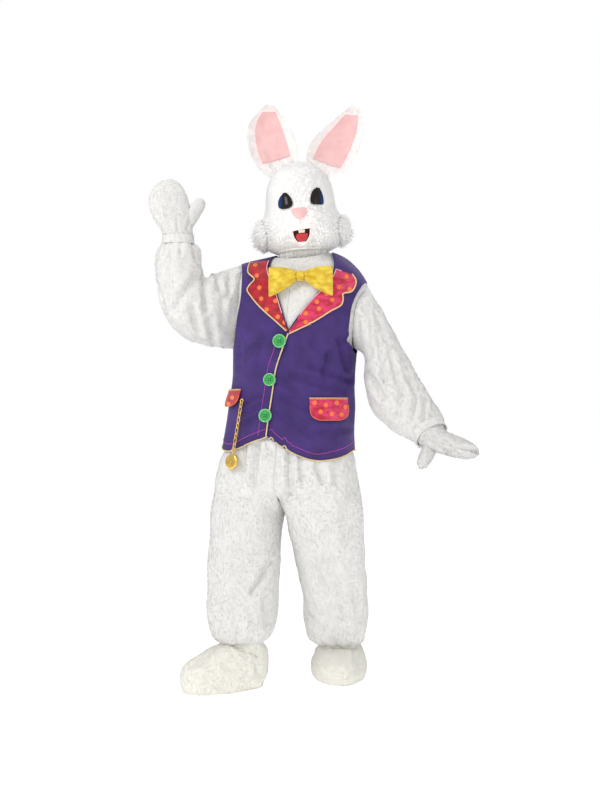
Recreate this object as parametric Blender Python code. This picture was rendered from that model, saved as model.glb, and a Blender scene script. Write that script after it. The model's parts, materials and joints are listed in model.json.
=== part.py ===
"""Rabbit mascot costume: plush suit, waistcoat, bow tie, mask, mittens and shoe covers.

The costume keeps the pose that its wearer gave it and is hollow all through.
Heights in the tables are metres above the floor, and the finished part is moved
down so that its origin lies between the shoulders, where the wearer carries it.
X runs to the wearer's left, the wearer faces -Y, and Z is up.
"""

import math

import bmesh
import bpy
import numpy as np
from mathutils import Matrix, Vector

ORIGIN_HEIGHT = 1.45
SEAM = 0.0003
HALF_SEAM = SEAM / 2
PLUSH = 0.003
SATIN = 0.002
MASK_WALL = 0.006
VEST_EASE = 0.009
TORSO_TURN = math.radians(-15.0)
SECTION_POWER = 2.4

# height, middle across, middle in depth, half width and half depth of the waistcoat
TORSO = (
    ("height", "across", "depth", "half_width", "half_depth"),
    (0.700, -0.038, 0.0, 0.271, 0.175),
    (0.760, -0.036, 0.0, 0.254, 0.168),
    (0.816, -0.033, 0.0, 0.2385, 0.163),
    (0.900, -0.026, 0.0, 0.231, 0.158),
    (0.987, -0.018, 0.0, 0.2257, 0.154),
    (1.074, -0.014, 0.0, 0.219, 0.151),
    (1.200, -0.004, 0.0, 0.225, 0.149),
    (1.300, 0.003, 0.0, 0.248, 0.147),
    (1.400, 0.010, 0.0, 0.262, 0.140),
    (1.530, 0.018, 0.0, 0.262, 0.132),
)

# distance from the middle and height of the waistcoat's shoulder seams
SHOULDER_RIGHT = (
    ("across", "height"),
    (0.000, 1.528),
    (0.091, 1.503),
    (0.183, 1.486),
    (0.224, 1.474),
    (0.262, 1.430),
)
SHOULDER_LEFT = (
    ("across", "height"),
    (0.000, 1.528),
    (0.070, 1.519),
    (0.107, 1.510),
    (0.154, 1.491),
    (0.188, 1.464),
    (0.217, 1.438),
    (0.244, 1.392),
    (0.262, 1.350),
)
SHOULDER_ROUND = 0.12
SHOULDER_DROP = 0.0045

# edge of the suit's armholes, from the underarm to the shoulder
ARMHOLE_RIGHT = (
    ("across", "height"),
    (0.300, 1.172),
    (0.208, 1.215),
    (0.200, 1.270),
    (0.193, 1.330),
    (0.191, 1.390),
    (0.199, 1.440),
    (0.2165, 1.458),
    (0.226, 1.500),
)
ARMHOLE_LEFT = (
    ("across", "height"),
    (0.300, 1.170),
    (0.2135, 1.200),
    (0.213, 1.240),
    (0.217, 1.280),
    (0.224, 1.320),
    (0.233, 1.348),
    (0.2425, 1.370),
    (0.2475, 1.500),
)

# waistcoat: edges of its pieces, as distance across (wearer's left positive) and height
VEST_ARMHOLE_RIGHT = (
    ("across", "height"),
    (0.300, 1.150),
    (0.2150, 1.162),
    (0.202, 1.195),
    (0.192, 1.250),
    (0.185, 1.305),
    (0.178, 1.355),
    (0.179, 1.405),
    (0.190, 1.447),
    (0.209, 1.470),
    (0.218, 1.500),
)
VEST_ARMHOLE_LEFT = (
    ("across", "height"),
    (0.300, 1.150),
    (0.2180, 1.160),
    (0.208, 1.185),
    (0.205, 1.225),
    (0.208, 1.265),
    (0.212, 1.300),
    (0.220, 1.335),
    (0.228, 1.360),
    (0.2355, 1.390),
    (0.2395, 1.500),
)
VEST_FRONT_RIGHT = (
    ("across", "height"),
    (-0.033, 0.865),
    (-0.033, 0.922),
    (-0.028, 0.989),
    (-0.020, 1.085),
    (-0.002, 1.160),
    (0.015, 1.217),
)
VEST_NECK_RIGHT = (
    ("across", "height"),
    (0.015, 1.217),
    (-0.015, 1.294),
    (-0.039, 1.356),
    (-0.070, 1.412),
    (-0.089, 1.455),
    (-0.092, 1.500),
)
VEST_HEM_RIGHT = (
    ("across", "height"),
    (-0.033, 0.865),
    (-0.083, 0.849),
    (-0.134, 0.823),
    (-0.181, 0.805),
    (-0.220, 0.817),
    (-0.300, 0.836),
)
VEST_UNDERLAP = 0.020
VEST_NECK_LEFT = (
    ("across", "height"),
    (-0.005, 1.206),
    (0.031, 1.262),
    (0.062, 1.306),
    (0.098, 1.350),
    (0.132, 1.390),
    (0.150, 1.425),
    (0.143, 1.465),
    (0.112, 1.500),
)
VEST_HEM_LEFT = (
    ("across", "height"),
    (-0.053, 0.874),
    (-0.021, 0.863),
    (0.045, 0.815),
    (0.095, 0.788),
    (0.123, 0.778),
    (0.161, 0.781),
    (0.218, 0.793),
    (0.300, 0.815),
)
VEST_BACK_HEM = 0.806
VEST_BACK_NECK = 1.494

# lapels: inner and outer edge of each row, from the shoulder down
LAPEL_RIGHT = (
    ("inner_across", "inner_height", "outer_across", "outer_height"),
    (-0.092, 1.476, -0.168, 1.474),
    (-0.091, 1.455, -0.165, 1.439),
    (-0.074, 1.413, -0.129, 1.404),
    (-0.052, 1.374, -0.154, 1.377),
    (-0.036, 1.338, -0.129, 1.340),
    (-0.017, 1.290, -0.078, 1.292),
    (-0.001, 1.249, -0.032, 1.255),
    (0.011, 1.224, 0.002, 1.226),
)
LAPEL_LEFT = (
    ("inner_across", "inner_height", "outer_across", "outer_height"),
    (0.152, 1.436, 0.203, 1.420),
    (0.148, 1.412, 0.219, 1.390),
    (0.136, 1.392, 0.213, 1.360),
    (0.122, 1.374, 0.186, 1.348),
    (0.112, 1.361, 0.188, 1.319),
    (0.096, 1.343, 0.154, 1.292),
    (0.074, 1.316, 0.116, 1.265),
    (0.052, 1.286, 0.074, 1.243),
    (0.040, 1.268, 0.050, 1.248),
)
LAPEL_LIFT = 0.0013
LAPEL_THICKNESS = 0.0022
BRAID_WIDTH = 0.005
BRAID_HEIGHT = 0.0025

# flaps: height, edge nearer the front, edge nearer the side, stand off at that height
FLAP_LEFT = (
    ("height", "near", "far", "lift"),
    (0.998, 0.100, 0.2125, 0.0006),
    (0.972, 0.103, 0.2160, 0.0018),
    (0.942, 0.108, 0.2180, 0.0034),
    (0.929, 0.117, 0.2140, 0.0038),
    (0.921, 0.138, 0.2010, 0.0040),
)
FLAP_RIGHT = (
    ("height", "near", "far", "lift"),
    (1.028, -0.149, -0.2130, 0.0007),
    (1.004, -0.151, -0.2160, 0.0036),
    (0.984, -0.156, -0.2180, 0.0065),
    (0.973, -0.168, -0.2150, 0.0080),
    (0.967, -0.184, -0.2080, 0.0085),
)
FLAP_THICKNESS = 0.003

BUTTONS = (
    ("across", "height", "radius"),
    (-0.016, 1.191, 0.0235),
    (-0.040, 1.059, 0.0220),
    (-0.046, 0.936, 0.0230),
)
BUTTON_PROFILE = (
    ("share", "out"),
    (0.17, -0.0003),
    (0.17, 0.0048),
    (0.96, 0.0054),
    (1.00, 0.0096),
    (0.94, 0.0112),
    (0.80, 0.0112),
    (0.72, 0.0096),
)
BUTTON_HOLE = 0.0021
BUTTON_HOLE_PLACE = 0.30

# watch and chain
CHAIN_ACROSS = 0.138
CHAIN_TOP = 0.980
CHAIN_FOOT = (0.148, 0.806)
LINK_LENGTH = 0.023
LINK_WIDTH = 0.0135
LINK_WIRE = 0.0015
LINK_COUNT = 9
RING_RADIUS = 0.0060
RING_WIRE = 0.0013
WATCH_RADIUS = 0.0275
WATCH_PROFILE = (
    ("share", "out"),
    (0.62, -0.0062),
    (0.90, -0.0050),
    (1.00, -0.0026),
    (1.00, 0.0026),
    (0.92, 0.0046),
    (0.86, 0.0046),
    (0.80, 0.0060),
)

# bow tie: distance from the knot's middle, half height, half thickness, drop
BOW_WING = (
    ("across", "half_height", "half_depth", "drop"),
    (0.0145, 0.0165, 0.0090, 0.000),
    (0.0300, 0.0260, 0.0140, 0.003),
    (0.0500, 0.0360, 0.0170, 0.007),
    (0.0750, 0.0450, 0.0180, 0.012),
    (0.0980, 0.0500, 0.0150, 0.017),
    (0.1080, 0.0505, 0.0100, 0.019),
    (0.1115, 0.0480, 0.0040, 0.019),
)
BOW_PLACE = (0.012, -0.162, 1.4115)
BOW_TURN = math.radians(-12.0)
KNOT_SIZE = (0.0140, 0.0190, 0.0165)

# trouser legs: height, outer and inner edge across, middle in depth, half depth
LEG_RIGHT = (
    ("height", "outer", "inner", "depth", "half_depth"),
    (0.150, -0.2715, -0.1145, -0.060, 0.0785),
    (0.158, -0.291, -0.096, -0.060, 0.100),
    (0.176, -0.306, -0.078, -0.058, 0.118),
    (0.215, -0.313, -0.069, -0.050, 0.127),
    (0.270, -0.317, -0.066, -0.040, 0.129),
    (0.330, -0.318, -0.064, -0.028, 0.130),
    (0.408, -0.316, -0.060, -0.012, 0.131),
    (0.494, -0.311, -0.058, 0.006, 0.136),
    (0.550, -0.309, -0.054, 0.018, 0.143),
    (0.600, -0.306, -0.0420, 0.028, 0.150),
    (0.700, -0.292, -0.0420, 0.034, 0.160),
)
LEG_LEFT = (
    ("height", "outer", "inner", "depth", "half_depth"),
    (0.106, 0.2305, 0.0735, 0.118, 0.0785),
    (0.114, 0.245, 0.050, 0.117, 0.100),
    (0.135, 0.253, 0.033, 0.114, 0.116),
    (0.186, 0.256, 0.026, 0.104, 0.124),
    (0.250, 0.257, 0.024, 0.088, 0.126),
    (0.310, 0.254, 0.016, 0.074, 0.127),
    (0.370, 0.248, 0.002, 0.054, 0.128),
    (0.461, 0.240, -0.014, 0.020, 0.134),
    (0.540, 0.234, -0.029, -0.010, 0.142),
    (0.600, 0.232, -0.0420, -0.028, 0.150),
    (0.700, 0.220, -0.0420, -0.034, 0.160),
)
CROTCH_HEIGHT = 0.600
HIP_HEIGHT = 0.700

# sleeves: upper and lower edge of each ring in the view from the front
SLEEVE_RIGHT = (
    ("top_x", "top_z", "low_x", "low_z", "depth", "half_depth", "tilt"),
    (-0.250, 1.450, -0.262, 1.174, 0.030, 0.118, 0.0),
    (-0.290, 1.440, -0.325, 1.184, 0.008, 0.114, 0.0),
    (-0.316, 1.421, -0.380, 1.193, -0.010, 0.110, 0.0),
    (-0.325, 1.416, -0.428, 1.228, -0.026, 0.106, 0.0),
    (-0.328, 1.434, -0.462, 1.285, -0.038, 0.100, 0.0),
    (-0.330, 1.456, -0.488, 1.350, -0.048, 0.093, 0.0),
    (-0.333, 1.480, -0.494, 1.422, -0.056, 0.086, 0.0),
    (-0.335, 1.500, -0.493, 1.485, -0.062, 0.079, 0.0),
    (-0.339, 1.519, -0.489, 1.515, -0.066, 0.070, 0.0),
    (-0.354, 1.531, -0.473, 1.531, -0.068, 0.056, 0.0),
)
SLEEVE_LEFT = (
    ("top_x", "top_z", "low_x", "low_z", "depth", "half_depth", "tilt"),
    (0.2640, 1.350, 0.232, 1.152, -0.070, 0.098, 0.0),
    (0.302, 1.290, 0.234, 1.100, -0.076, 0.102, 0.0),
    (0.347, 1.205, 0.234, 1.036, -0.086, 0.102, 4.0),
    (0.386, 1.121, 0.242, 0.975, -0.104, 0.102, 10.0),
    (0.432, 1.040, 0.274, 0.925, -0.128, 0.098, 18.0),
    (0.470, 0.978, 0.322, 0.890, -0.150, 0.090, 26.0),
    (0.492, 0.946, 0.356, 0.868, -0.166, 0.080, 32.0),
    (0.497, 0.924, 0.386, 0.856, -0.178, 0.060, 36.0),
)
CUFF_LENGTH = 0.030
CUFF_PINCH = 0.94

# mitten: distance from the wrist, half width, half depth
MITTEN = (
    ("along", "half_width", "half_depth", "shift"),
    (0.000, 0.0500, 0.0420, 0.000),
    (0.030, 0.0515, 0.0400, 0.000),
    (0.065, 0.0615, 0.0385, -0.003),
    (0.105, 0.0690, 0.0365, -0.007),
    (0.140, 0.0680, 0.0340, -0.008),
    (0.170, 0.0600, 0.0290, -0.006),
    (0.192, 0.0450, 0.0210, -0.002),
    (0.206, 0.0240, 0.0090, 0.003),
    (0.210, 0.0130, 0.0000, 0.004),
)
THUMB = (
    ("along", "radius"),
    (0.000, 0.0260),
    (0.030, 0.0255),
    (0.060, 0.0250),
    (0.085, 0.0225),
    (0.100, 0.0170),
    (0.107, 0.0080),
)
# thumbs in the mitten's frame: across to the thumb's side, behind the palm, along the hand
THUMB_ROOT_RIGHT = (0.030, 0.000, 0.040)
THUMB_WAY_RIGHT = (0.75, 0.00, 0.66)
THUMB_ROOT_LEFT = (0.010, 0.008, 0.034)
THUMB_WAY_LEFT = (0.45, 0.85, 0.25)

# shoe cover: height, reach to the toe, reach to the heel, half width
SHOE = (
    ("height", "toe", "heel", "half_width"),
    (0.0040, 0.2150, 0.0950, 0.0960),
    (0.0300, 0.2340, 0.1080, 0.1060),
    (0.0600, 0.2330, 0.1090, 0.1010),
    (0.0850, 0.2120, 0.1070, 0.0920),
    (0.1030, 0.1700, 0.1020, 0.0860),
    (0.1180, 0.1230, 0.0930, 0.0800),
)
SHOE_COLLAR = 0.0745
SHOE_SOLE = 0.0037

# mask: height above its neck, half width, reach to the front and to the back
MASK = (
    ("height", "half_width", "front", "back"),
    (0.008, 0.0860, 0.0860, 0.0900),
    (0.014, 0.1080, 0.1180, 0.1120),
    (0.034, 0.1360, 0.1450, 0.1330),
    (0.062, 0.1510, 0.1560, 0.1480),
    (0.088, 0.1570, 0.1580, 0.1560),
    (0.112, 0.1490, 0.1560, 0.1590),
    (0.136, 0.1310, 0.1530, 0.1600),
    (0.162, 0.1240, 0.1500, 0.1600),
    (0.190, 0.1215, 0.1460, 0.1580),
    (0.220, 0.1180, 0.1400, 0.1530),
    (0.250, 0.1110, 0.1290, 0.1430),
    (0.278, 0.0960, 0.1080, 0.1230),
    (0.300, 0.0730, 0.0790, 0.0920),
    (0.314, 0.0450, 0.0430, 0.0520),
    (0.320, 0.0200, 0.0000, 0.0000),
)
MASK_PLACE = (0.016, -0.006, 1.502)
MASK_ROLL = math.radians(-4.0)
MASK_MIDDLE = 0.008
MUZZLE_PLACE = (0.000, 0.084)
MUZZLE_SPREAD = (0.040, 0.034)
MUZZLE_REACH = 0.024

# pieces on the face: height, edges across, and how far out their back and front lie
EYE_RIGHT = (
    ("height", "left", "right"),
    (0.197, -0.050, -0.040),
    (0.188, -0.061, -0.0315),
    (0.173, -0.0695, -0.0240),
    (0.158, -0.0705, -0.0195),
    (0.148, -0.0640, -0.0250),
    (0.143, -0.0550, -0.0380),
)
EYE_LEFT = (
    ("height", "left", "right"),
    (0.208, 0.0640, 0.0750),
    (0.198, 0.0520, 0.0825),
    (0.183, 0.0450, 0.0865),
    (0.167, 0.0420, 0.0880),
    (0.156, 0.0430, 0.0865),
    (0.151, 0.0500, 0.0810),
)
NOSE = (
    ("height", "left", "right"),
    (0.142, -0.0170, 0.0190),
    (0.134, -0.0270, 0.0280),
    (0.123, -0.0265, 0.0275),
    (0.111, -0.0170, 0.0180),
    (0.102, -0.0080, 0.0090),
)
TONGUE = (
    ("height", "left", "right"),
    (0.0525, -0.0130, 0.0240),
    (0.0440, -0.0170, 0.0250),
    (0.0350, -0.0130, 0.0190),
    (0.0280, -0.0040, 0.0110),
)
TEETH = (
    ("height", "left", "right"),
    (0.0645, -0.0065, 0.0145),
    (0.0590, -0.0070, 0.0150),
    (0.0550, -0.0060, 0.0140),
)
MOUTH = (
    ("across", "height"),
    (-0.0264, 0.0630),
    (-0.0230, 0.0430),
    (-0.0120, 0.0270),
    (0.0040, 0.0210),
    (0.0180, 0.0270),
    (0.0300, 0.0450),
    (0.0333, 0.0690),
)
MOUTH_LINING = (
    ("height", "left", "right"),
    (0.0860, -0.0380, 0.0430),
    (0.0660, -0.0400, 0.0450),
    (0.0460, -0.0360, 0.0420),
    (0.0290, -0.0240, 0.0300),
)
NECK_SKIRT = (
    ("height", "middle", "half_width", "half_depth"),
    (0.0077, 0.008, 0.0860, 0.0880),
    (-0.0060, 0.006, 0.0830, 0.0830),
    (-0.0250, 0.001, 0.0770, 0.0730),
    (-0.0450, -0.002, 0.0750, 0.0700),
    (-0.0620, -0.002, 0.0850, 0.1134),
)

# ears: across and height of the outer and the inner edge, in the mask's frame
EAR_RIGHT = (
    ("outer_x", "outer_z", "inner_x", "inner_z"),
    (-0.084, 0.270, -0.006, 0.312),
    (-0.125, 0.300, 0.010, 0.340),
    (-0.150, 0.345, 0.010, 0.368),
    (-0.161, 0.395, 0.004, 0.400),
    (-0.161, 0.442, -0.008, 0.438),
    (-0.146, 0.480, -0.024, 0.474),
    (-0.119, 0.504, -0.042, 0.498),
    (-0.090, 0.522, -0.062, 0.519),
)
EAR_LEFT = (
    ("outer_x", "outer_z", "inner_x", "inner_z"),
    (0.108, 0.262, 0.040, 0.302),
    (0.158, 0.268, 0.038, 0.330),
    (0.195, 0.303, 0.044, 0.358),
    (0.222, 0.345, 0.062, 0.391),
    (0.238, 0.388, 0.092, 0.423),
    (0.248, 0.430, 0.128, 0.446),
    (0.245, 0.467, 0.168, 0.476),
    (0.236, 0.492, 0.208, 0.497),
)
EAR_THICKNESS = 0.012
EAR_CUP = 0.030
EAR_TIP_DROP = 0.040
EAR_BORDER = 0.17


def column(table, name):
    """Return one named column of a table as an array."""
    index = table[0].index(name)
    return np.array([row[index] for row in table[1:]], dtype=float)


def smooth_curve(keys, values, at):
    """Read a smooth curve through (key, value) pairs without overshoot."""
    keys, values, at = (np.asarray(item, dtype=float) for item in (keys, values, at))
    steps = np.diff(keys)
    slopes = np.diff(values) / steps
    tangents = np.zeros_like(values)
    tangents[0], tangents[-1] = slopes[0], slopes[-1]
    same = slopes[:-1] * slopes[1:] > 0
    weight_a = 2 * steps[1:] + steps[:-1]
    weight_b = steps[1:] + 2 * steps[:-1]
    safe = np.where(same, slopes[:-1], 1.0), np.where(same, slopes[1:], 1.0)
    harmonic = (weight_a + weight_b) / (weight_a / safe[0] + weight_b / safe[1])
    tangents[1:-1] = np.where(same, harmonic, 0.0)
    at = np.clip(at, keys[0], keys[-1])
    cell = np.clip(np.searchsorted(keys, at, side="right") - 1, 0, len(steps) - 1)
    t = (at - keys[cell]) / steps[cell]
    h00 = (1 + 2 * t) * (1 - t) ** 2
    h10 = t * (1 - t) ** 2
    h01 = t * t * (3 - 2 * t)
    h11 = t * t * (t - 1)
    return (
        h00 * values[cell]
        + h10 * steps[cell] * tangents[cell]
        + h01 * values[cell + 1]
        + h11 * steps[cell] * tangents[cell + 1]
    )


def read(table, key, name, at):
    """Read a table's column as a smooth function of another column."""
    return smooth_curve(column(table, key), column(table, name), at)


def resample(table, count):
    """Return the table's columns at count even steps along its rows."""
    rows = np.arange(len(table) - 1, dtype=float)
    at = np.linspace(0, rows[-1], count)
    return {name: smooth_curve(rows, column(table, name), at) for name in table[0]}


def material(name, colour, roughness, metallic=0.0):
    """Make a Principled material."""
    made = bpy.data.materials.new(name)
    made.use_nodes = True
    shader = made.node_tree.nodes["Principled BSDF"]
    shader.inputs["Base Color"].default_value = (*colour, 1.0)
    shader.inputs["Roughness"].default_value = roughness
    shader.inputs["Metallic"].default_value = metallic
    made.diffuse_color = (*colour, 1.0)
    return made


def add_object(name, bm, look):
    """Turn a bmesh into a named object whose faces point out."""
    bmesh.ops.recalc_face_normals(bm, faces=bm.faces)
    if bm.calc_volume(signed=True) < 0:
        bmesh.ops.reverse_faces(bm, faces=bm.faces)
    mesh = bpy.data.meshes.new(name)
    bm.to_mesh(mesh)
    bm.free()
    mesh.materials.append(look.copy() if look.users else look)
    mesh.shade_smooth()
    mesh.set_sharp_from_angle(angle=math.radians(40.0))
    made = bpy.data.objects.new(name, mesh)
    bpy.context.scene.collection.objects.link(made)
    made.location.z = -ORIGIN_HEIGHT
    return made


def unit(vectors):
    """Scale vectors to length one."""
    length = np.linalg.norm(vectors, axis=-1, keepdims=True)
    return vectors / np.maximum(length, 1e-12)


def grid_normals(points, wrap):
    """Return outward normals of a grid of points shaped rows, columns, xyz."""
    if wrap:
        across = np.roll(points, -1, axis=1) - np.roll(points, 1, axis=1)
    else:
        across = np.gradient(points, axis=1)
    along = np.gradient(points, axis=0)
    return unit(np.cross(across, along))


def point_away(normals, points, out):
    """Turn the normals to face away from the rows' middles, or along out."""
    if out is None:
        away = points - points.mean(axis=1, keepdims=True)
    else:
        away = np.broadcast_to(np.asarray(out, dtype=float), points.shape)
    return normals if (normals * away).sum() > 0 else -normals


def set_seams(normals, seams):
    """Give the edges that meet another piece the outward directions it has too.

    A direction of zero length leaves that point's own normal.
    """
    places = {
        "first_row": (0, slice(None)),
        "last_row": (-1, slice(None)),
        "first_column": (slice(None), 0),
        "last_column": (slice(None), -1),
    }
    for edge, wanted in (seams or {}).items():
        place = places[edge]
        wanted = np.broadcast_to(np.asarray(wanted, dtype=float), normals[place].shape)
        given = np.linalg.norm(wanted, axis=-1, keepdims=True) > 0
        normals[place] = np.where(given, unit(wanted), normals[place])
    return normals


def two_skins(name, outer, inner, look, wrap=False):
    """Close the space between two grids of points into one solid."""
    bm = bmesh.new()
    skins = [[[bm.verts.new(p) for p in row] for row in grid] for grid in (outer, inner)]
    rows, columns = outer.shape[:2]
    across = columns if wrap else columns - 1
    for r in range(rows - 1):
        for c in range(across):
            d = (c + 1) % columns
            a, b = skins
            bm.faces.new((a[r][c], a[r][d], a[r + 1][d], a[r + 1][c]))
            bm.faces.new((b[r][c], b[r + 1][c], b[r + 1][d], b[r][d]))
    for r in (0, rows - 1):
        for c in range(across):
            d = (c + 1) % columns
            a, b = skins[0][r], skins[1][r]
            bm.faces.new((a[c], b[c], b[d], a[d]))
    if not wrap:
        for c in (0, columns - 1):
            for r in range(rows - 1):
                a, b = skins[0], skins[1]
                bm.faces.new((a[r][c], a[r + 1][c], b[r + 1][c], b[r][c]))
    return add_object(name, bm, look)


def wall(name, outer, thickness, look, wrap=False, out=None, seams=None):
    """Make a cloth wall whose outer face runs through a grid of points."""
    outer = np.asarray(outer, dtype=float)
    normals = point_away(grid_normals(outer, wrap), outer, out)
    normals = set_seams(normals, seams)
    return two_skins(name, outer, outer - normals * thickness, look, wrap)


def capped_tube(name, rings, look):
    """Make a solid through rings of points, with flat ends."""
    bm = bmesh.new()
    loops = [[bm.verts.new(p) for p in ring] for ring in rings]
    count = len(loops[0])
    for low, high in zip(loops, loops[1:]):
        for c in range(count):
            d = (c + 1) % count
            bm.faces.new((low[c], low[d], high[d], high[c]))
    bm.faces.new(loops[0][::-1])
    bm.faces.new(loops[-1])
    bmesh.ops.triangulate(bm, faces=[f for f in bm.faces if len(f.verts) > 4])
    return add_object(name, bm, look)


def shoulder_height(side, across):
    """Return the height of the shoulder seam at a distance from the middle."""
    table = SHOULDER_LEFT if side > 0 else SHOULDER_RIGHT
    return read(table, "across", "height", np.abs(across))


def shoulder_top(side, across, grow):
    """Return a layer's own shoulder height: an inner layer lies close under the outer one."""
    return shoulder_height(side, across) + np.maximum(grow, -SHOULDER_DROP)


def torso_size(height):
    """Return middle across, half width and half depth at a height."""
    return [read(TORSO, "height", name, height) for name in ("across", "half_width", "half_depth")]


def angle_at(across, height, grow=0.0):
    """Return the section's angle from the middle that has this distance across."""
    _, half_width, _ = torso_size(height)
    ratio = np.clip(np.asarray(across) / (half_width + grow), 0.0, 1.0)
    return np.arcsin(ratio ** (SECTION_POWER / 2))


def torso_points(side, face, angle, height, grow=0.0):
    """Map angles from the middle and heights onto the torso's surface.

    side is -1 on the wearer's right, face is 1 in front and -1 behind.
    """
    middle, half_width, half_depth = torso_size(height)
    power = 2 / SECTION_POWER
    across = (half_width + grow) * np.sin(angle) ** power
    top = shoulder_top(side, across, grow)
    rise = np.clip((top - height) / SHOULDER_ROUND, 0.0, 1.0)
    fade = np.sqrt(1 - (1 - rise) ** 2)
    out = (half_depth + grow) * np.clip(np.cos(angle), 0.0, 1.0) ** power * fade
    local_x = side * across
    local_y = -face * out
    c, s = math.cos(TORSO_TURN), math.sin(TORSO_TURN)
    return np.stack(
        [middle + c * local_x - s * local_y, s * local_x + c * local_y, height + 0 * across],
        axis=-1,
    )


TORSO_ACROSS = np.array([math.cos(TORSO_TURN), math.sin(TORSO_TURN), 0.0])
TORSO_DEPTH = np.array([-math.sin(TORSO_TURN), math.cos(TORSO_TURN), 0.0])


def patch(bottom, top, left, right):
    """Fill four edge lines, given as arrays of pairs, with a grid of pairs."""
    u = np.linspace(0, 1, len(bottom))[None, :, None]
    v = np.linspace(0, 1, len(left))[:, None, None]
    corner = bottom[0], bottom[-1], top[0], top[-1]
    edges = (1 - v) * bottom[None] + v * top[None] + (1 - u) * left[:, None] + u * right[:, None]
    blend = (1 - u) * (1 - v) * corner[0] + u * (1 - v) * corner[1]
    cells = edges - blend - (1 - u) * v * corner[2] - u * v * corner[3]
    start, end = left[1:-1, None, 0], right[1:-1, None, 0]
    one = start + (end - start) * 0.4 * u[..., 0]
    other = end - (end - start) * 0.4 * (1 - u[..., 0])
    cells[1:-1, :, 0] = cells[1:-1, :, 0].clip(np.minimum(one, other), np.maximum(one, other))
    return cells


def line(pairs, count):
    """Spread count pairs evenly along straight runs between pairs."""
    pairs = np.asarray(pairs, dtype=float)
    reach = np.concatenate([[0], np.cumsum(np.linalg.norm(np.diff(pairs, axis=0), axis=1))])
    at = np.linspace(0, reach[-1], count)
    return np.stack([np.interp(at, reach, pairs[:, k]) for k in range(2)], axis=-1)


def spread(pairs, shares):
    """Read pairs at shares of the length of a line through them."""
    pairs = np.asarray(pairs, dtype=float)
    reach = np.concatenate([[0], np.cumsum(np.linalg.norm(np.diff(pairs, axis=0), axis=1))])
    return np.stack([np.interp(shares * reach[-1], reach, pairs[:, k]) for k in range(2)], axis=-1)


def rise_shares(armhole):
    """Return how far up an armhole each of its points lies, from 0 to 1."""
    height = armhole[:, 1]
    return (height - height[0]) / (height[-1] - height[0])


def armhole_line(table, side, grow):
    """Return (angle, height) pairs up an armhole, ending on the shoulder seam."""
    across, height = column(table, "across"), column(table, "height")
    height[-1] = shoulder_top(side, across[-1], grow)
    angle = angle_at(across, height, grow)
    angle[0] = math.pi / 2
    return np.stack([angle, height], axis=-1)


SUIT_GROW = -VEST_EASE
SUIT_COLUMNS = 8
SHOULDER_COLUMN = 3
ARMHOLE_STEPS = 7
SIDE_ROWS = 5
X_AXIS = np.array([1.0, 0.0, 0.0])
Y_AXIS = np.array([0.0, 1.0, 0.0])
Z_AXIS = np.array([0.0, 0.0, 1.0])
NECK_ACROSS = 0.096
NECK_FRONT = 1.480
NECK_BACK = 1.482


def suit_torso(side, face):
    """Return the grid of one quarter of the suit above the hips."""
    armhole = armhole_line(ARMHOLE_LEFT if side > 0 else ARMHOLE_RIGHT, side, SUIT_GROW)
    side_line = line([(math.pi / 2, HIP_HEIGHT), armhole[0]], SIDE_ROWS)
    right = np.concatenate([side_line, armhole[1:]])
    neck_height = NECK_FRONT if face > 0 else NECK_BACK
    side_share = SIDE_ROWS / len(right)
    waist = HIP_HEIGHT + (neck_height - HIP_HEIGHT) * (side_share + 0.12)
    left = np.concatenate(
        [
            line([(0, HIP_HEIGHT), (0, waist)], SIDE_ROWS),
            spread([(0, waist), (0, neck_height)], rise_shares(armhole))[1:],
        ]
    )
    across = np.linspace(0, 1, SUIT_COLUMNS)
    table = ARMHOLE_LEFT if side > 0 else ARMHOLE_RIGHT
    tip = column(table, "across")[-1]
    shoulder = np.linspace(NECK_ACROSS, tip, SUIT_COLUMNS - SHOULDER_COLUMN)
    shoulder_z = shoulder_top(side, shoulder, SUIT_GROW)
    turn = np.linspace(0, math.pi / 2, SHOULDER_COLUMN + 1)[:-1]
    neck = NECK_ACROSS * np.sin(turn)
    neck_z = shoulder_z[0] - (shoulder_z[0] - neck_height) * np.cos(turn)
    top_across = np.concatenate([neck, shoulder])
    top_z = np.concatenate([neck_z, shoulder_z])
    top = np.stack([angle_at(top_across, top_z, SUIT_GROW), top_z], axis=-1)
    top[-1] = right[-1]
    bottom = np.stack([across * math.pi / 2, np.full(SUIT_COLUMNS, HIP_HEIGHT)], axis=-1)
    cells = patch(bottom, top, left, right)
    return torso_points(side, face, cells[..., 0], cells[..., 1], SUIT_GROW)


def leg_rows(side, face, heights):
    """Return rows of points round the front or back half of a trouser leg."""
    table = LEG_LEFT if side > 0 else LEG_RIGHT
    outer, inner, depth, half_depth = (
        read(table, "height", name, heights)[:, None]
        for name in ("outer", "inner", "depth", "half_depth")
    )
    turn = np.linspace(0, math.pi, SUIT_COLUMNS)[None, :]
    power = 2 / 2.3
    middle, half = (outer + inner) / 2, (outer - inner) / 2
    round_x = -np.sign(np.cos(turn)) * np.abs(np.cos(turn)) ** power
    round_y = np.sin(turn).clip(0) ** power
    drape = 0.006 * np.sin(turn * 3 + heights[:, None] * 17 + face) * np.sin(turn) ** 2
    drape = drape * np.clip((heights[:, None] - column(table, "height")[0]) / 0.06, 0, 1)
    near = np.clip((heights[:, None] - 0.46) / (CROTCH_HEIGHT - 0.46), 0, 1)
    gather = near * near * (3 - 2 * near) * np.cos(turn / 2) ** 4
    x = middle + half * round_x
    y = depth * (1 - gather) - face * (half_depth + drape) * round_y
    x = x - math.tan(TORSO_TURN) * y * near * np.cos(turn / 2) ** 2
    return np.stack([x, y, heights[:, None] + 0 * x], axis=-1)


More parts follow.
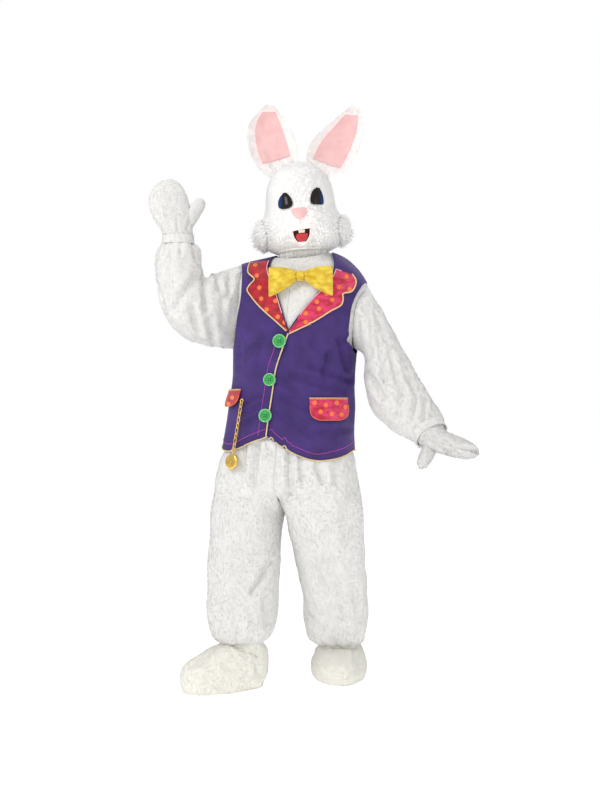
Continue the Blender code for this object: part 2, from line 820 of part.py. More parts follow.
def suit_panel(name, side, face, look):
    """Make one of the suit's four long panels, from the ankle to the shoulder."""
    table = LEG_LEFT if side > 0 else LEG_RIGHT
    low = column(table, "height")[:-1]
    legs = leg_rows(side, face, low)
    torso = suit_torso(side, face)
    steps = np.linspace(0, 1, 4)[1:-1]
    heights = CROTCH_HEIGHT + (HIP_HEIGHT - CROTCH_HEIGHT) * steps
    thigh = leg_rows(side, face, heights)
    hip = np.repeat(torso[:1], len(steps), axis=0).copy()
    hip[..., 2] = heights[:, None]
    share = (steps * steps * (3 - 2 * steps))[:, None, None]
    rise = thigh * (1 - share) + hip * share
    rise[:, 0, :] = crotch_line(face, heights, legs[-1, 0], torso[0, 0])
    points = np.concatenate([legs, rise, torso])
    crotch = len(legs) - 1
    armhole = len(points) - ARMHOLE_STEPS
    depth_axis = np.tile(Y_AXIS, (len(points), 1))
    depth_axis[crotch + 1 :] = TORSO_DEPTH
    depth_axis[armhole:] = 0.0
    points[:, -1] -= face * HALF_SEAM * depth_axis
    points[-1, SHOULDER_COLUMN:] -= face * HALF_SEAM * TORSO_DEPTH
    points[:crotch, 0] -= face * HALF_SEAM * Y_AXIS
    points[crotch, 0] += HALF_SEAM * (side * TORSO_ACROSS - face * TORSO_DEPTH)
    points[crotch + 1 :, 0] += side * HALF_SEAM * TORSO_ACROSS
    side_out = np.tile(side * X_AXIS, (len(points), 1))
    side_out[crotch + 1 :] = side * TORSO_ACROSS
    side_out[armhole:] = 0.0
    inner_out = np.tile(-side * X_AXIS, (len(points), 1))
    inner_out[crotch + 1 :] = -face * TORSO_DEPTH
    inner_out[crotch] = -Z_AXIS
    for k, step in enumerate(steps):
        turn = step * math.pi / 2
        inner_out[crotch + 1 + k] = -face * TORSO_DEPTH * math.sin(turn) - Z_AXIS * math.cos(turn)
    top_out = np.zeros((SUIT_COLUMNS, 3))
    top_out[SHOULDER_COLUMN:] = Z_AXIS
    seams = {"first_column": inner_out, "last_column": side_out, "last_row": top_out}
    return wall(name, points, PLUSH, look, seams=seams), points


def crotch_line(face, heights, low, high):
    """Return the centre seam's curve from the crotch to the front or back."""
    share = (heights - CROTCH_HEIGHT) / (HIP_HEIGHT - CROTCH_HEIGHT)
    turn = share * math.pi / 2
    run = np.sin(turn)[:, None]
    points = low + (high - low) * run
    points[:, 2] = heights
    return points


def seam_line(points, axis, out):
    """Return outward directions along a seam that lies across an axis."""
    tangent = np.gradient(np.asarray(points, dtype=float), axis=0)
    axis = np.broadcast_to(np.asarray(axis, dtype=float), tangent.shape)
    normal = unit(np.cross(tangent, axis))
    out = np.broadcast_to(np.asarray(out, dtype=float), normal.shape)
    return normal * np.where((normal * out).sum(axis=-1, keepdims=True) < 0, -1.0, 1.0)


def sleeve_ring(table, row):
    """Return one sleeve ring's middle, its upward and depth axes and half sizes."""
    top = np.array([table["top_x"][row], table["depth"][row], table["top_z"][row]])
    low = np.array([table["low_x"][row], table["depth"][row], table["low_z"][row]])
    up = unit(top - low)
    tilt = math.radians(table["tilt"][row])
    hand = np.array([-up[2], 0.0, up[0]])
    if table["tilt"][row] > 0:
        hand = hand if hand[0] > 0 else -hand
    back = math.cos(tilt) * Y_AXIS + math.sin(tilt) * hand
    return (top + low) / 2, up, back, np.linalg.norm(top - low) / 2, table["half_depth"][row]


def sleeve(side, hand_name, look, cuff_look):
    """Make a sleeve's two halves and its elastic cuff."""
    rows = len(SLEEVE_LEFT if side > 0 else SLEEVE_RIGHT) - 1
    table = resample(SLEEVE_LEFT if side > 0 else SLEEVE_RIGHT, rows)
    turn = np.linspace(0, math.pi, ARMHOLE_STEPS + 1)[:, None]
    rings = [sleeve_ring(table, row) for row in range(rows)]
    middle = torso_points(side, 1, np.array(math.pi / 2), np.array(1.3), SUIT_GROW)
    for face, place in ((1, "front"), (-1, "back")):
        root = suit_torso(side, face)[-1 - ARMHOLE_STEPS :, -1][::-1]
        root = root + side * SEAM * TORSO_ACROSS
        grid = [root]
        for centre, up, back, half, half_depth in rings:
            grid.append(
                centre
                + half * np.cos(turn) * up
                - face * half_depth * np.sin(turn) ** (2 / 2.2) * back
            )
        grid = np.array(grid)
        backs = np.array([TORSO_DEPTH] + [ring[2] for ring in rings])
        top_out = seam_line(grid[:, 0], backs, Z_AXIS)
        low_out = seam_line(grid[:, -1], backs, -Z_AXIS)
        if side < 0:
            ups = np.array([Z_AXIS] + [ring[1] for ring in rings])
            top_out = seam_line(grid[:, 0], backs, ups)
            low_out = seam_line(grid[:, -1], backs, -ups)
        grid[:, 0] -= face * HALF_SEAM * backs
        grid[:, -1] -= face * HALF_SEAM * backs
        hub = root.mean(axis=0) * 0.5 + (root[0] + root[-1]) * 0.25
        spread = root - hub
        root_out = unit(spread - (spread @ TORSO_ACROSS)[:, None] * TORSO_ACROSS)
        root_out[0], root_out[-1] = Z_AXIS, -Z_AXIS
        top_out[0], low_out[0] = Z_AXIS, -Z_AXIS
        centre, up, back, half, half_depth = rings[-1]
        last_out = unit(grid[-1] - centre)
        top_out[-1], low_out[-1] = up, -up
        seams = {
            "first_column": top_out,
            "last_column": low_out,
            "first_row": root_out,
            "last_row": last_out,
        }
        wall(f"sleeve_{hand_name}_{place}", grid, PLUSH, look, seams=seams)
    centre, up, back, half, half_depth = rings[-1]
    axis = unit(np.cross(back, up))
    if axis @ (rings[-1][0] - rings[-2][0]) < 0:
        axis = -axis
    around = np.linspace(0, 2 * math.pi, 2 * ARMHOLE_STEPS, endpoint=False)[:, None]
    grid = []
    for along, share in ((0.0, 1.0), (0.4, CUFF_PINCH), (1.0, CUFF_PINCH)):
        grid.append(
            centre
            + axis * (SEAM + along * CUFF_LENGTH)
            + share * half * np.cos(around) * up
            - share * half_depth * np.sign(np.sin(around)) * np.abs(np.sin(around)) ** (2 / 2.2) * back
        )
    grid = np.array(grid)
    seams = {"first_row": unit(grid[0] - grid[0].mean(axis=0))}
    wall(f"cuff_{hand_name}", grid, PLUSH, cuff_look, wrap=True, seams=seams)
    return grid[-1]


def boolean(target, other, operation):
    """Cut target with another object, or join the two."""
    modifier = target.modifiers.new(operation.lower(), "BOOLEAN")
    modifier.operation = operation
    modifier.solver = "EXACT"
    modifier.object = other
    other.hide_render = True
    other.display_type = "WIRE"
    return target


def flat_pairs(table, side, grow):
    """Return a table of signed distance and height as (signed angle, height) pairs."""
    across, height = column(table, "across"), column(table, "height")
    angle = np.sign(across) * angle_at(np.abs(across), height, grow)
    return np.stack([angle, height], axis=-1)


def front_points(angle, height, grow=0.0, face=1):
    """Map signed angles from the middle onto the torso's front or back."""
    right = torso_points(-1, face, np.abs(angle), height, grow)
    left = torso_points(1, face, np.abs(angle), height, grow)
    return np.where((np.asarray(angle) < 0)[..., None], right, left)


VEST_SIDE_ROWS = 6
VEST_ARMHOLE_STEPS = 9
VEST_SHOULDER_STEPS = 5
VEST_SIDE_LOW = {-1: 0.836, 1: 0.815}


def vest_side(side):
    """Return the waistcoat's side seam and armhole as (angle, height) pairs."""
    table = VEST_ARMHOLE_LEFT if side > 0 else VEST_ARMHOLE_RIGHT
    armhole = armhole_line(table, side, 0.0)
    seam = line([(math.pi / 2, VEST_SIDE_LOW[side]), armhole[0]], VEST_SIDE_ROWS)
    return np.concatenate([seam, armhole[1:]])


def vest_shoulder(side):
    """Return the shoulder seam as (angle, height) pairs, from the neck out."""
    neck = VEST_NECK_LEFT if side > 0 else VEST_NECK_RIGHT
    tip = column(VEST_ARMHOLE_LEFT if side > 0 else VEST_ARMHOLE_RIGHT, "across")[-1]
    across = np.linspace(abs(column(neck, "across")[-1]), tip, VEST_SHOULDER_STEPS + 1)
    height = shoulder_height(side, across)
    return np.stack([angle_at(across, height), height], axis=-1)


def vest_front_grid(side):
    """Return the grid of a waistcoat front, from its front edge to its side seam."""
    mirror = np.array([side, 1.0])
    right = vest_side(side) * mirror
    top = vest_shoulder(side) * mirror
    if side < 0:
        edge, neck, hem = VEST_FRONT_RIGHT, VEST_NECK_RIGHT, VEST_HEM_RIGHT
        front = flat_pairs(edge, side, 0.0)
    else:
        edge, neck, hem = VEST_FRONT_RIGHT, VEST_NECK_LEFT, VEST_HEM_LEFT
        across = column(edge, "across") - VEST_UNDERLAP
        height = column(edge, "height")
        height[0] = column(hem, "height")[0]
        height[-1] = column(neck, "height")[0]
        front = np.stack([np.sign(across) * angle_at(np.abs(across), height), height], axis=-1)
    neck = flat_pairs(neck, side, 0.0)
    neck[-1] = top[0]
    shares = rise_shares(right[VEST_SIDE_ROWS - 1 :])
    left = np.concatenate([line(front, VEST_SIDE_ROWS), spread(neck, shares)[1:]])
    hem = flat_pairs(hem, side, 0.0)
    hem[0], hem[-1] = left[0], right[0]
    cells = patch(line(hem, VEST_SHOULDER_STEPS + 1), top, left, right)
    grow = np.zeros(cells.shape[:2])
    if side > 0:
        rows = np.linspace(0, 1, len(left))[:, None]
        from_edge = np.degrees(cells[..., 0] - cells[:, :1, 0])
        low = np.clip(1 - (from_edge - 8) / 14, 0, 1) * np.clip((1.26 - cells[..., 1]) / 0.06, 0, 1)
        grow = -VEST_TUCK * low + 0 * rows
    return cells, grow


VEST_TUCK = 0.0040


def vest(look):
    """Make the waistcoat's two fronts and its back."""
    grids = {}
    for side, hand in ((-1, "right"), (1, "left")):
        cells, grow = vest_front_grid(side)
        points = front_points(cells[..., 0], cells[..., 1], grow)
        rows = len(points)
        side_out = np.zeros((rows, 3))
        side_out[:VEST_SIDE_ROWS] = seam_line(
            points[:VEST_SIDE_ROWS, -1], TORSO_DEPTH, side * TORSO_ACROSS
        )
        top_out = seam_line(points[-1], TORSO_DEPTH, Z_AXIS)
        points[:VEST_SIDE_ROWS, -1] -= HALF_SEAM * TORSO_DEPTH
        points[-1] -= HALF_SEAM * TORSO_DEPTH
        seams = {"last_column": side_out, "last_row": top_out}
        wall(f"vest_front_{hand}", points, SATIN, look, seams=seams)
        grids[side] = points
    sides = [vest_side(side) * np.array([side, 1.0]) for side in (-1, 1)]
    tops = [vest_shoulder(side) * np.array([side, 1.0]) for side in (-1, 1)]
    neck = []
    for run in (0.12, 0.34, 0.66, 0.88):
        turn = run * math.pi
        across = tops[0][0, 0] * (1 - run) + tops[1][0, 0] * run
        rim = tops[0][0, 1] * (1 - run) + tops[1][0, 1] * run
        neck.append((across, rim - (rim - VEST_BACK_NECK) * math.sin(turn) ** 0.6))
    top = np.concatenate([tops[0][::-1], neck, tops[1]])
    share = np.linspace(-1, 1, len(top))
    hem_z = np.where(share < 0, VEST_SIDE_LOW[-1], VEST_SIDE_LOW[1])
    hem_z = VEST_BACK_HEM + (hem_z - VEST_BACK_HEM) * np.abs(share) ** 2
    hem = np.stack([share * math.pi / 2, hem_z], axis=-1)
    cells = patch(hem, top, sides[0], sides[1])
    points = front_points(cells[..., 0], cells[..., 1], 0.0, face=-1)
    outs = {}
    for side, place in ((-1, "first_column"), (1, "last_column")):
        index = 0 if side < 0 else -1
        out = np.zeros((len(points), 3))
        out[:VEST_SIDE_ROWS] = seam_line(
            points[:VEST_SIDE_ROWS, index], TORSO_DEPTH, side * TORSO_ACROSS
        )
        outs[place] = out
        points[:VEST_SIDE_ROWS, index] += HALF_SEAM * TORSO_DEPTH
    top_out = np.zeros((len(top), 3))
    steps = VEST_SHOULDER_STEPS + 1
    top_out[:steps] = seam_line(points[-1, :steps], TORSO_DEPTH, Z_AXIS)
    top_out[-steps:] = seam_line(points[-1, -steps:], TORSO_DEPTH, Z_AXIS)
    outs["last_row"] = top_out
    points[-1, :steps] += HALF_SEAM * TORSO_DEPTH
    points[-1, -steps:] += HALF_SEAM * TORSO_DEPTH
    wall("vest_back", points, SATIN, look, seams=outs)
    return grids


def strip(name, table, look, lift, thickness, columns=4, rows=None):
    """Make a piece that lies on the front of the torso, moved out from it."""
    rows = rows or len(table) - 1
    table = resample(table, rows) if rows != len(table) - 1 else {
        key: column(table, key) for key in table[0]
    }
    share = np.linspace(0, 1, columns)
    across = table["inner_across"][:, None] * (1 - share) + table["outer_across"][:, None] * share
    height = table["inner_height"][:, None] * (1 - share) + table["outer_height"][:, None] * share
    angle = np.sign(across) * angle_at(np.abs(across), height)
    lift = np.broadcast_to(np.asarray(lift, dtype=float)[..., None], across.shape)
    inner = front_points(angle, height, lift)
    outer = front_points(angle, height, lift + thickness)
    return two_skins(name, outer, inner, look), outer


def flap_table(table):
    """Turn a flap's table into rows of inner and outer edge points."""
    rows = [("inner_across", "inner_height", "outer_across", "outer_height")]
    for height, near, far, _ in table[1:]:
        rows.append((near, height, far, height + 0.0))
    return tuple(rows)


def braid(name, edge, next_in, look):
    """Make a flat braid along an edge, from the panel's own points moved out."""
    inward = unit(next_in - edge)
    tangent = np.gradient(edge, axis=0)
    out = unit(np.cross(tangent, inward))
    if (out[:, 1]).mean() > 0:
        out = -out
    rings = []
    for point, inner, normal in zip(edge, inward, out):
        low = point + normal * 0.0010 + inner * 0.0008
        rings.append(
            [
                low,
                low + inner * BRAID_WIDTH,
                low + inner * BRAID_WIDTH * 0.8 + normal * BRAID_HEIGHT,
                low + inner * BRAID_WIDTH * 0.2 + normal * BRAID_HEIGHT,
            ]
        )
    return capped_tube(name, rings, look)


def surface_frame(across, height):
    """Return a point on the waistcoat and its outward direction there."""
    def at(a, h):
        angle = np.sign(a) * angle_at(abs(a), h)
        return front_points(np.array(angle), np.array(h))

    point = at(across, height)
    out = unit(np.cross(at(across + 0.004, height) - point, at(across, height + 0.004) - point))
    return point, out if out[1] < 0 else -out


def turned(name, place, axis, profile, radius, look, sides):
    """Turn a profile of (share of the radius, distance out) round an axis."""
    axis = unit(np.asarray(axis, dtype=float))
    first = unit(np.cross(axis, Z_AXIS))
    second = np.cross(axis, first)
    rings = []
    for share, out in profile[1:]:
        ring = []
        for k in range(sides):
            turn = 2 * math.pi * k / sides
            spoke = math.cos(turn) * first + math.sin(turn) * second
            ring.append(place + axis * out + spoke * radius * share)
        rings.append(ring)
    return capped_tube(name, rings, look)


def rod(name, start, end, radius, look, sides=6):
    """Make a plain round rod between two points."""
    start, end = np.asarray(start, dtype=float), np.asarray(end, dtype=float)
    profile = (("share", "out"), (1.0, 0.0), (1.0, float(np.linalg.norm(end - start))))
    return turned(name, start, end - start, profile, radius, look, sides)


def merge(name, objects, look):
    """Join separate closed shapes into one mesh object."""
    bm = bmesh.new()
    for item in objects:
        bm.from_mesh(item.data)
        bpy.data.objects.remove(item, do_unlink=True)
    return add_object(name, bm, look)


def place_in(matrix, points):
    """Move points from a piece's own frame into the costume's."""
    points = np.asarray(points, dtype=float)
    turn = np.array(matrix.to_3x3())
    return points @ turn.T + np.array(matrix.translation)


def turn_in(matrix, directions):
    """Turn directions from a piece's own frame into the costume's."""
    return np.asarray(directions, dtype=float) @ np.array(matrix.to_3x3()).T


def frame(place, across, along):
    """Return a frame whose X lies across, Z along, and Y behind."""
    z = Vector(along).normalized()
    x = (Vector(across) - z * z.dot(Vector(across))).normalized()
    y = z.cross(x)
    matrix = Matrix((x, y, z)).transposed().to_4x4()
    matrix.translation = Vector(place)
    return matrix


def tube(path, radius, sides, closed, normal):
    """Return rings of points along a flat path."""
    path = np.asarray(path, dtype=float)
    if closed:
        tangent = unit(np.roll(path, -1, axis=0) - np.roll(path, 1, axis=0))
    else:
        tangent = unit(np.gradient(path, axis=0))
    side = unit(np.cross(tangent, normal))
    rings = []
    for point, across in zip(path, side):
        turns = [2 * math.pi * (k + 0.5) / sides for k in range(sides)]
        rings.append(
            [point + radius * (math.cos(t) * across + math.sin(t) * normal) for t in turns]
        )
    return np.array(rings)


def loop(name, matrix, length, width, wire, look, steps=3, sides=4):
    """Make one closed link in the X-Z plane of a frame, hanging along -Z."""
    radius = width / 2 - wire
    straight = length / 2 - wire - radius
    path = []
    for end, start in ((1, 0.0), (-1, math.pi)):
        for k in range(steps + 1):
            turn = start + math.pi * k / steps
            path.append((radius * math.cos(turn), 0.0, radius * math.sin(turn) + end * straight))
    rings = tube(path, wire, sides, True, Y_AXIS)
    points = place_in(matrix, rings)
    bm = bmesh.new()
    loops = [[bm.verts.new(p) for p in ring] for ring in points]
    for a, b in zip(loops, loops[1:] + loops[:1]):
        for c in range(sides):
            d = (c + 1) % sides
            bm.faces.new((a[c], a[d], b[d], b[c]))
    return add_object(name, bm, look)


def watch_and_chain(look):
    """Make the ring on the waistcoat, the chain that hangs from it and the watch."""
    top, out = surface_frame(-CHAIN_ACROSS, CHAIN_TOP)
    foot, foot_out = surface_frame(-CHAIN_FOOT[0], CHAIN_FOOT[1])
    stand = LINK_WIDTH / 2 + 0.0022
    hinge = top + out * stand
    down = unit(foot + foot_out * (stand + 0.003) - hinge)
    side = unit(np.cross(Z_AXIS, out))
    outward = unit(np.cross(side, down))
    outward = outward if outward @ out > 0 else -outward
    ring_frame = frame(hinge - down * RING_RADIUS, side, -down)
    ring = loop(
        "watch_ring", ring_frame, 2 * (RING_RADIUS + RING_WIRE), 2 * (RING_RADIUS + RING_WIRE),
        RING_WIRE, look, steps=6, sides=6,
    )
    knob = hinge - down * 2 * RING_RADIUS
    back, knob_out = surface_frame(-CHAIN_ACROSS, CHAIN_TOP + 2 * RING_RADIUS * 0.97)
    post = rod("watch_ring_post", back - knob_out * 0.0005, knob + out * 0.0004, 0.0022, look)
    boolean(ring, post, "UNION")
    pitch = LINK_LENGTH - 4 * LINK_WIRE + 0.0011
    slack = RING_WIRE + LINK_WIRE + 0.0006
    odd, even = [], []
    for k in range(LINK_COUNT):
        middle = hinge + down * (LINK_LENGTH / 2 - LINK_WIRE - slack + k * pitch)
        across = outward if k % 2 == 0 else side
        matrix = frame(middle, across, -down)
        link = loop("link", matrix, LINK_LENGTH, LINK_WIDTH, LINK_WIRE, look)
        (odd if k % 2 == 0 else even).append(link)
    chain = merge("watch_chain", odd, look)
    boolean(chain, merge("watch_chain_even", even, look), "UNION")
    end = hinge + down * (LINK_LENGTH - 2 * LINK_WIRE - slack + (LINK_COUNT - 1) * pitch)
    bow_radius, bow_wire = 0.0080, 0.0014
    crossing = side if (LINK_COUNT - 1) % 2 == 0 else outward
    bow_middle = end + down * (bow_radius - LINK_WIRE - bow_wire - 0.0006)
    bow = loop(
        "watch_bow", frame(bow_middle, crossing, -down), 2 * (bow_radius + bow_wire),
        2 * (bow_radius + bow_wire), bow_wire, look, steps=6, sides=6,
    )
    stem_top = bow_middle + down * (bow_radius - 0.0010)
    centre = stem_top + down * (0.006 + WATCH_RADIUS)
    stem = rod("watch_stem", stem_top, centre - down * (WATCH_RADIUS - 0.003), 0.0032, look)
    watch = turned("watch", centre, outward, WATCH_PROFILE, WATCH_RADIUS, look, 18)
    boolean(watch, stem, "UNION")
    boolean(watch, bow, "UNION")


def bow_tie(look):
    """Make the bow tie's two wings and its knot."""
    turn = Matrix.Rotation(BOW_TURN, 4, "Z")
    turn.translation = Vector(BOW_PLACE)
    table = resample(BOW_WING, 8)
    around = np.linspace(0, 2 * math.pi, 16, endpoint=False)
    for side, hand in ((-1, "right"), (1, "left")):
        rings = []
        for across, high, deep, drop in zip(*(table[name] for name in BOW_WING[0])):
            pleat = 1 + 0.16 * np.cos(around * 5 + 0.6) * min(1.0, (0.115 - across) / 0.03)
            z = high * np.sign(np.sin(around)) * np.abs(np.sin(around)) ** 0.8 - drop
            y = deep * np.cos(around) * pleat
            rings.append(np.stack([np.full_like(z, side * across), y, z], axis=-1))
        capped_tube(f"bow_wing_{hand}", place_in(turn, rings), look)
    wide, high, deep = KNOT_SIZE
    rings = []
    back, _ = surface_frame(0.0001, BOW_PLACE[2])
    local_back = (turn.inverted() @ Vector(back)).y + VEST_EASE - 0.0010
    for share, size in ((-1.0, 0.72), (-0.7, 0.97), (0.0, 1.0), (0.7, 0.97), (1.0, 0.72)):
        ring = []
        for k in range(14):
            angle = 2 * math.pi * k / 14
            y = -deep * size * math.cos(angle) * (1.0 if math.cos(angle) > 0 else 0.0)
            if math.cos(angle) <= 0:
                y = local_back * -math.cos(angle) ** 1 if math.cos(angle) < 0 else 0.0
            ring.append((wide * share * 0.98, y, high * size * math.sin(angle)))
        rings.append(ring)
    capped_tube("bow_knot", place_in(turn, rings), look)


def mask_frame():
    """Return the mask's own frame, leaning a little to the wearer's right."""
    turn = Matrix.Rotation(MASK_ROLL, 4, "Y")
    turn.translation = Vector(MASK_PLACE)
    return turn


def mask_points(face, angle, height, grow=0.0):
    """Map signed angles and heights onto the mask, in its own frame."""
    half_width = read(MASK, "height", "half_width", height) + grow
    reach = read(MASK, "height", "front" if face > 0 else "back", height) + grow
    power = 2 / 2.2
    x = MASK_MIDDLE + half_width * np.sign(np.sin(angle)) * np.abs(np.sin(angle)) ** power
    y = -face * reach * np.clip(np.cos(angle), 0, 1) ** power
    if face > 0:
        far = ((x - MUZZLE_PLACE[0]) / MUZZLE_SPREAD[0]) ** 2
        far = far + ((height - MUZZLE_PLACE[1]) / MUZZLE_SPREAD[1]) ** 2
        y = y - MUZZLE_REACH * np.exp(-far) * np.clip(np.cos(angle), 0, 1)
    return np.stack([x, y, height + 0 * x], axis=-1)


def mask_angle(x, height):
    """Return the angle at which the mask's front has this distance across."""
    half_width = read(MASK, "height", "half_width", height)
    ratio = np.clip((x - MASK_MIDDLE) / half_width, -1, 1)
    return np.sign(ratio) * np.arcsin(np.abs(ratio) ** 1.1)


FACE_ANGLES = np.radians([-90, -72, -54, -39, -26, -16, -8, 0, 8, 16, 26, 39, 54, 72, 90])
BACK_ANGLES = np.radians(np.linspace(-90, 90, 11))
MASK_ROWS = 16


def mask_shell(look, dark):
    """Make the mask's face and back, cut its mouth, and return a volume to clear it."""
    matrix = mask_frame()
    heights = resample(MASK, MASK_ROWS)["height"]
    for face, name, angles in ((1, "mask_face", FACE_ANGLES), (-1, "mask_back", BACK_ANGLES)):
        grid_angle, grid_height = np.meshgrid(angles, heights)
        points = mask_points(face, grid_angle, grid_height)
        seams = {
            "first_column": turn_in(matrix, seam_line(points[:, 0], Y_AXIS, -X_AXIS)),
            "last_column": turn_in(matrix, seam_line(points[:, -1], Y_AXIS, X_AXIS)),
            "last_row": turn_in(matrix, np.tile(Z_AXIS, (len(angles), 1))),
        }
        points[:, 0, 1] = points[:, -1, 1] = points[-1, :, 1] = -face * HALF_SEAM
        shell = wall(name, place_in(matrix, points), MASK_WALL, look, seams=seams)
        if face > 0:
            outline = [(x, -0.24, z) for x, z in MOUTH[1:]], [(x, -0.08, z) for x, z in MOUTH[1:]]
            boolean(shell, capped_tube("mouth_cut", place_in(matrix, outline), dark), "DIFFERENCE")
    rings = []
    for row, height in enumerate(heights):
        front = mask_points(1, FACE_ANGLES, np.full(len(FACE_ANGLES), height), 0.0008)
        back = mask_points(-1, BACK_ANGLES[::-1], np.full(len(BACK_ANGLES), height), 0.0008)
        if row == MASK_ROWS - 1:
            front[:, 1] = -0.003 * np.cos(FACE_ANGLES) - 0.0005
            back[:, 1] = 0.003 * np.cos(BACK_ANGLES) + 0.0005
        ring = np.concatenate([front, back[1:-1]])
        ring[:, 2] += 0.0008
        rings.append(ring)
    room = capped_tube("mask_room", place_in(matrix, rings), dark)
    room.hide_render = True
    room.display_type = "WIRE"
    return room


def face_piece(name, table, look, back, front, dome=0.0, columns=7, rows=None):
    """Make a piece that follows the mask's front, between two distances out from it."""
    table = resample(table, rows or len(table) - 1)
    share = np.linspace(0, 1, columns)
    x = table["left"][:, None] * (1 - share) + table["right"][:, None] * share
    height = np.broadcast_to(table["height"][:, None], x.shape)
    angle = mask_angle(x, height)
    down = np.linspace(-1, 1, len(height))[:, None]
    bulge = dome * np.clip(1 - (2 * share - 1) ** 2, 0, 1) * np.clip(1 - down**2, 0, 1)
    matrix = mask_frame()
    inner = mask_points(1, angle, height, 0.0)
    inner[..., 1] -= back + (bulge if dome < 0 else 0.0)
    outer = mask_points(1, angle, height, 0.0)
    outer[..., 1] -= front + bulge
    return two_skins(name, place_in(matrix, outer), place_in(matrix, inner), look)


def neck_skirt(look):
    """Make the plush neck that joins the mask to the suit's collar."""
    matrix = mask_frame()
    table = resample(NECK_SKIRT, 4)
    around = np.linspace(0, 2 * math.pi, 20, endpoint=False) - math.pi / 2
    rings = []
    for row in range(4):
        middle, wide, deep, height = (
            table[name][row] for name in ("middle", "half_width", "half_depth", "height")
        )
        sine, cosine = np.sin(around), np.cos(around)
        x = middle + wide * np.sign(sine) * np.abs(sine) ** (2 / 2.2)
        y = -deep * np.sign(cosine) * np.abs(cosine) ** (2 / 2.2)
        rings.append(np.stack([x, y, np.full_like(x, height)], axis=-1))
    rings = np.array(rings)
    seams = {"first_row": turn_in(matrix, unit(rings[0] * np.array([1.0, 1.0, 0.0])))}
    wall("mask_neck", place_in(matrix, rings), PLUSH, look, wrap=True, seams=seams)


def ear(hand, table, look, lining_look, room):
    """Make an ear's back and its lining, its foot cut to the mask."""
    matrix = mask_frame()
    rows = 10
    table = resample(table, rows)

    def surface(v, u, lift):
        at = v * (rows - 1)
        edge = {name: np.interp(at, np.arange(rows), table[name]) for name in table}
        x = edge["outer_x"] * (1 - u) + edge["inner_x"] * u
        z = edge["outer_z"] * (1 - u) + edge["inner_z"] * u
        cup = EAR_CUP * (1 - (2 * u - 1) ** 2) * np.sin(np.clip(v, 0, 1) * math.pi * 0.9 + 0.2)
        tip = EAR_TIP_DROP * np.clip((v - 0.68) / 0.32, 0, 1) ** 2
        y = -0.012 + cup - tip - lift
        return np.stack([x + 0 * y, y, z + 0 * y], axis=-1)

    u = np.array([0.0, 0.08, EAR_BORDER, 0.33, 0.5, 0.67, 1 - EAR_BORDER, 0.92, 1.0])
    v, u = np.meshgrid(np.linspace(0, 1, rows), u, indexing="ij")
    round_off = np.sqrt(np.clip(1 - np.abs(2 * u - 1) ** 3, 0.06, 1))
    front, back = surface(v, u, 0.0), surface(v, u, 0.0)
    back[..., 1] += EAR_THICKNESS * round_off
    shell = two_skins(f"ear_{hand}", place_in(matrix, front), place_in(matrix, back), look)
    boolean(shell, room, "DIFFERENCE")
    inner, outer = front[2:-1, 2:-2].copy(), front[2:-1, 2:-2].copy()
    inner[..., 1] -= 0.0007
    outer[..., 1] -= 0.0030
    name = f"ear_{hand}_lining"
    lining = two_skins(name, place_in(matrix, outer), place_in(matrix, inner), lining_look)
    boolean(lining, room, "DIFFERENCE")


MITTEN_COLUMNS = 9
MITTEN_ROWS = 10
WRIST_INSET = 0.012
WRIST_BEND = 0.07


def bent_frames(start, axis, matrix, distances):
    """Return a middle and three axes at distances along a hand that bends at the wrist."""
    x_axis, y_axis, z_axis = (np.array(matrix.col[k].to_3d()) for k in range(3))
    place, frames, before = np.array(start, dtype=float), [], 0.0
    for distance in distances:
        for step in np.linspace(before, distance, 5)[1:]:
            share = min(1.0, step / WRIST_BEND)
            along = unit((1 - share) * axis + share * z_axis)
            place = place + along * (distance - before) / 4
        share = min(1.0, distance / WRIST_BEND)
        along = unit((1 - share) * axis + share * z_axis)
        across = unit(x_axis - along * (x_axis @ along))
        frames.append((place, across, np.cross(along, across), along))
        before = distance
    return frames


def hand_ring(frame_here, wide, deep, shift, turns):
    """Return points round one section of a hand."""
    place, across, behind, _ = frame_here
    sine, cosine = np.sin(turns)[:, None], np.cos(turns)[:, None]
    depth = -deep * np.sign(sine) * np.abs(sine) ** (2 / 2.2)
    return place + (shift - wide * cosine) * across + depth * behind


def wrist_ring(cuff, frame_here, turns):
    """Return the points on a cuff's inner edge in the given directions."""
    place, across, behind, _ = frame_here
    flat = np.stack([(cuff - place) @ across, (cuff - place) @ behind], axis=-1)
    points = []
    for turn in turns:
        ray = np.array([-math.cos(turn), -math.sin(turn)])
        best = None
        for a, b in zip(flat, np.roll(flat, -1, axis=0)):
            edge = b - a
            det = edge[0] * ray[1] - edge[1] * ray[0]
            if abs(det) < 1e-12:
                continue
            reach = (edge[0] * a[1] - edge[1] * a[0]) / det
            share = (ray[0] * a[1] - ray[1] * a[0]) / det
            if reach > 0 and -1e-6 <= share <= 1 + 1e-6:
                best = reach
        points.append(place + best * (ray[0] * across + ray[1] * behind))
    return np.array(points)


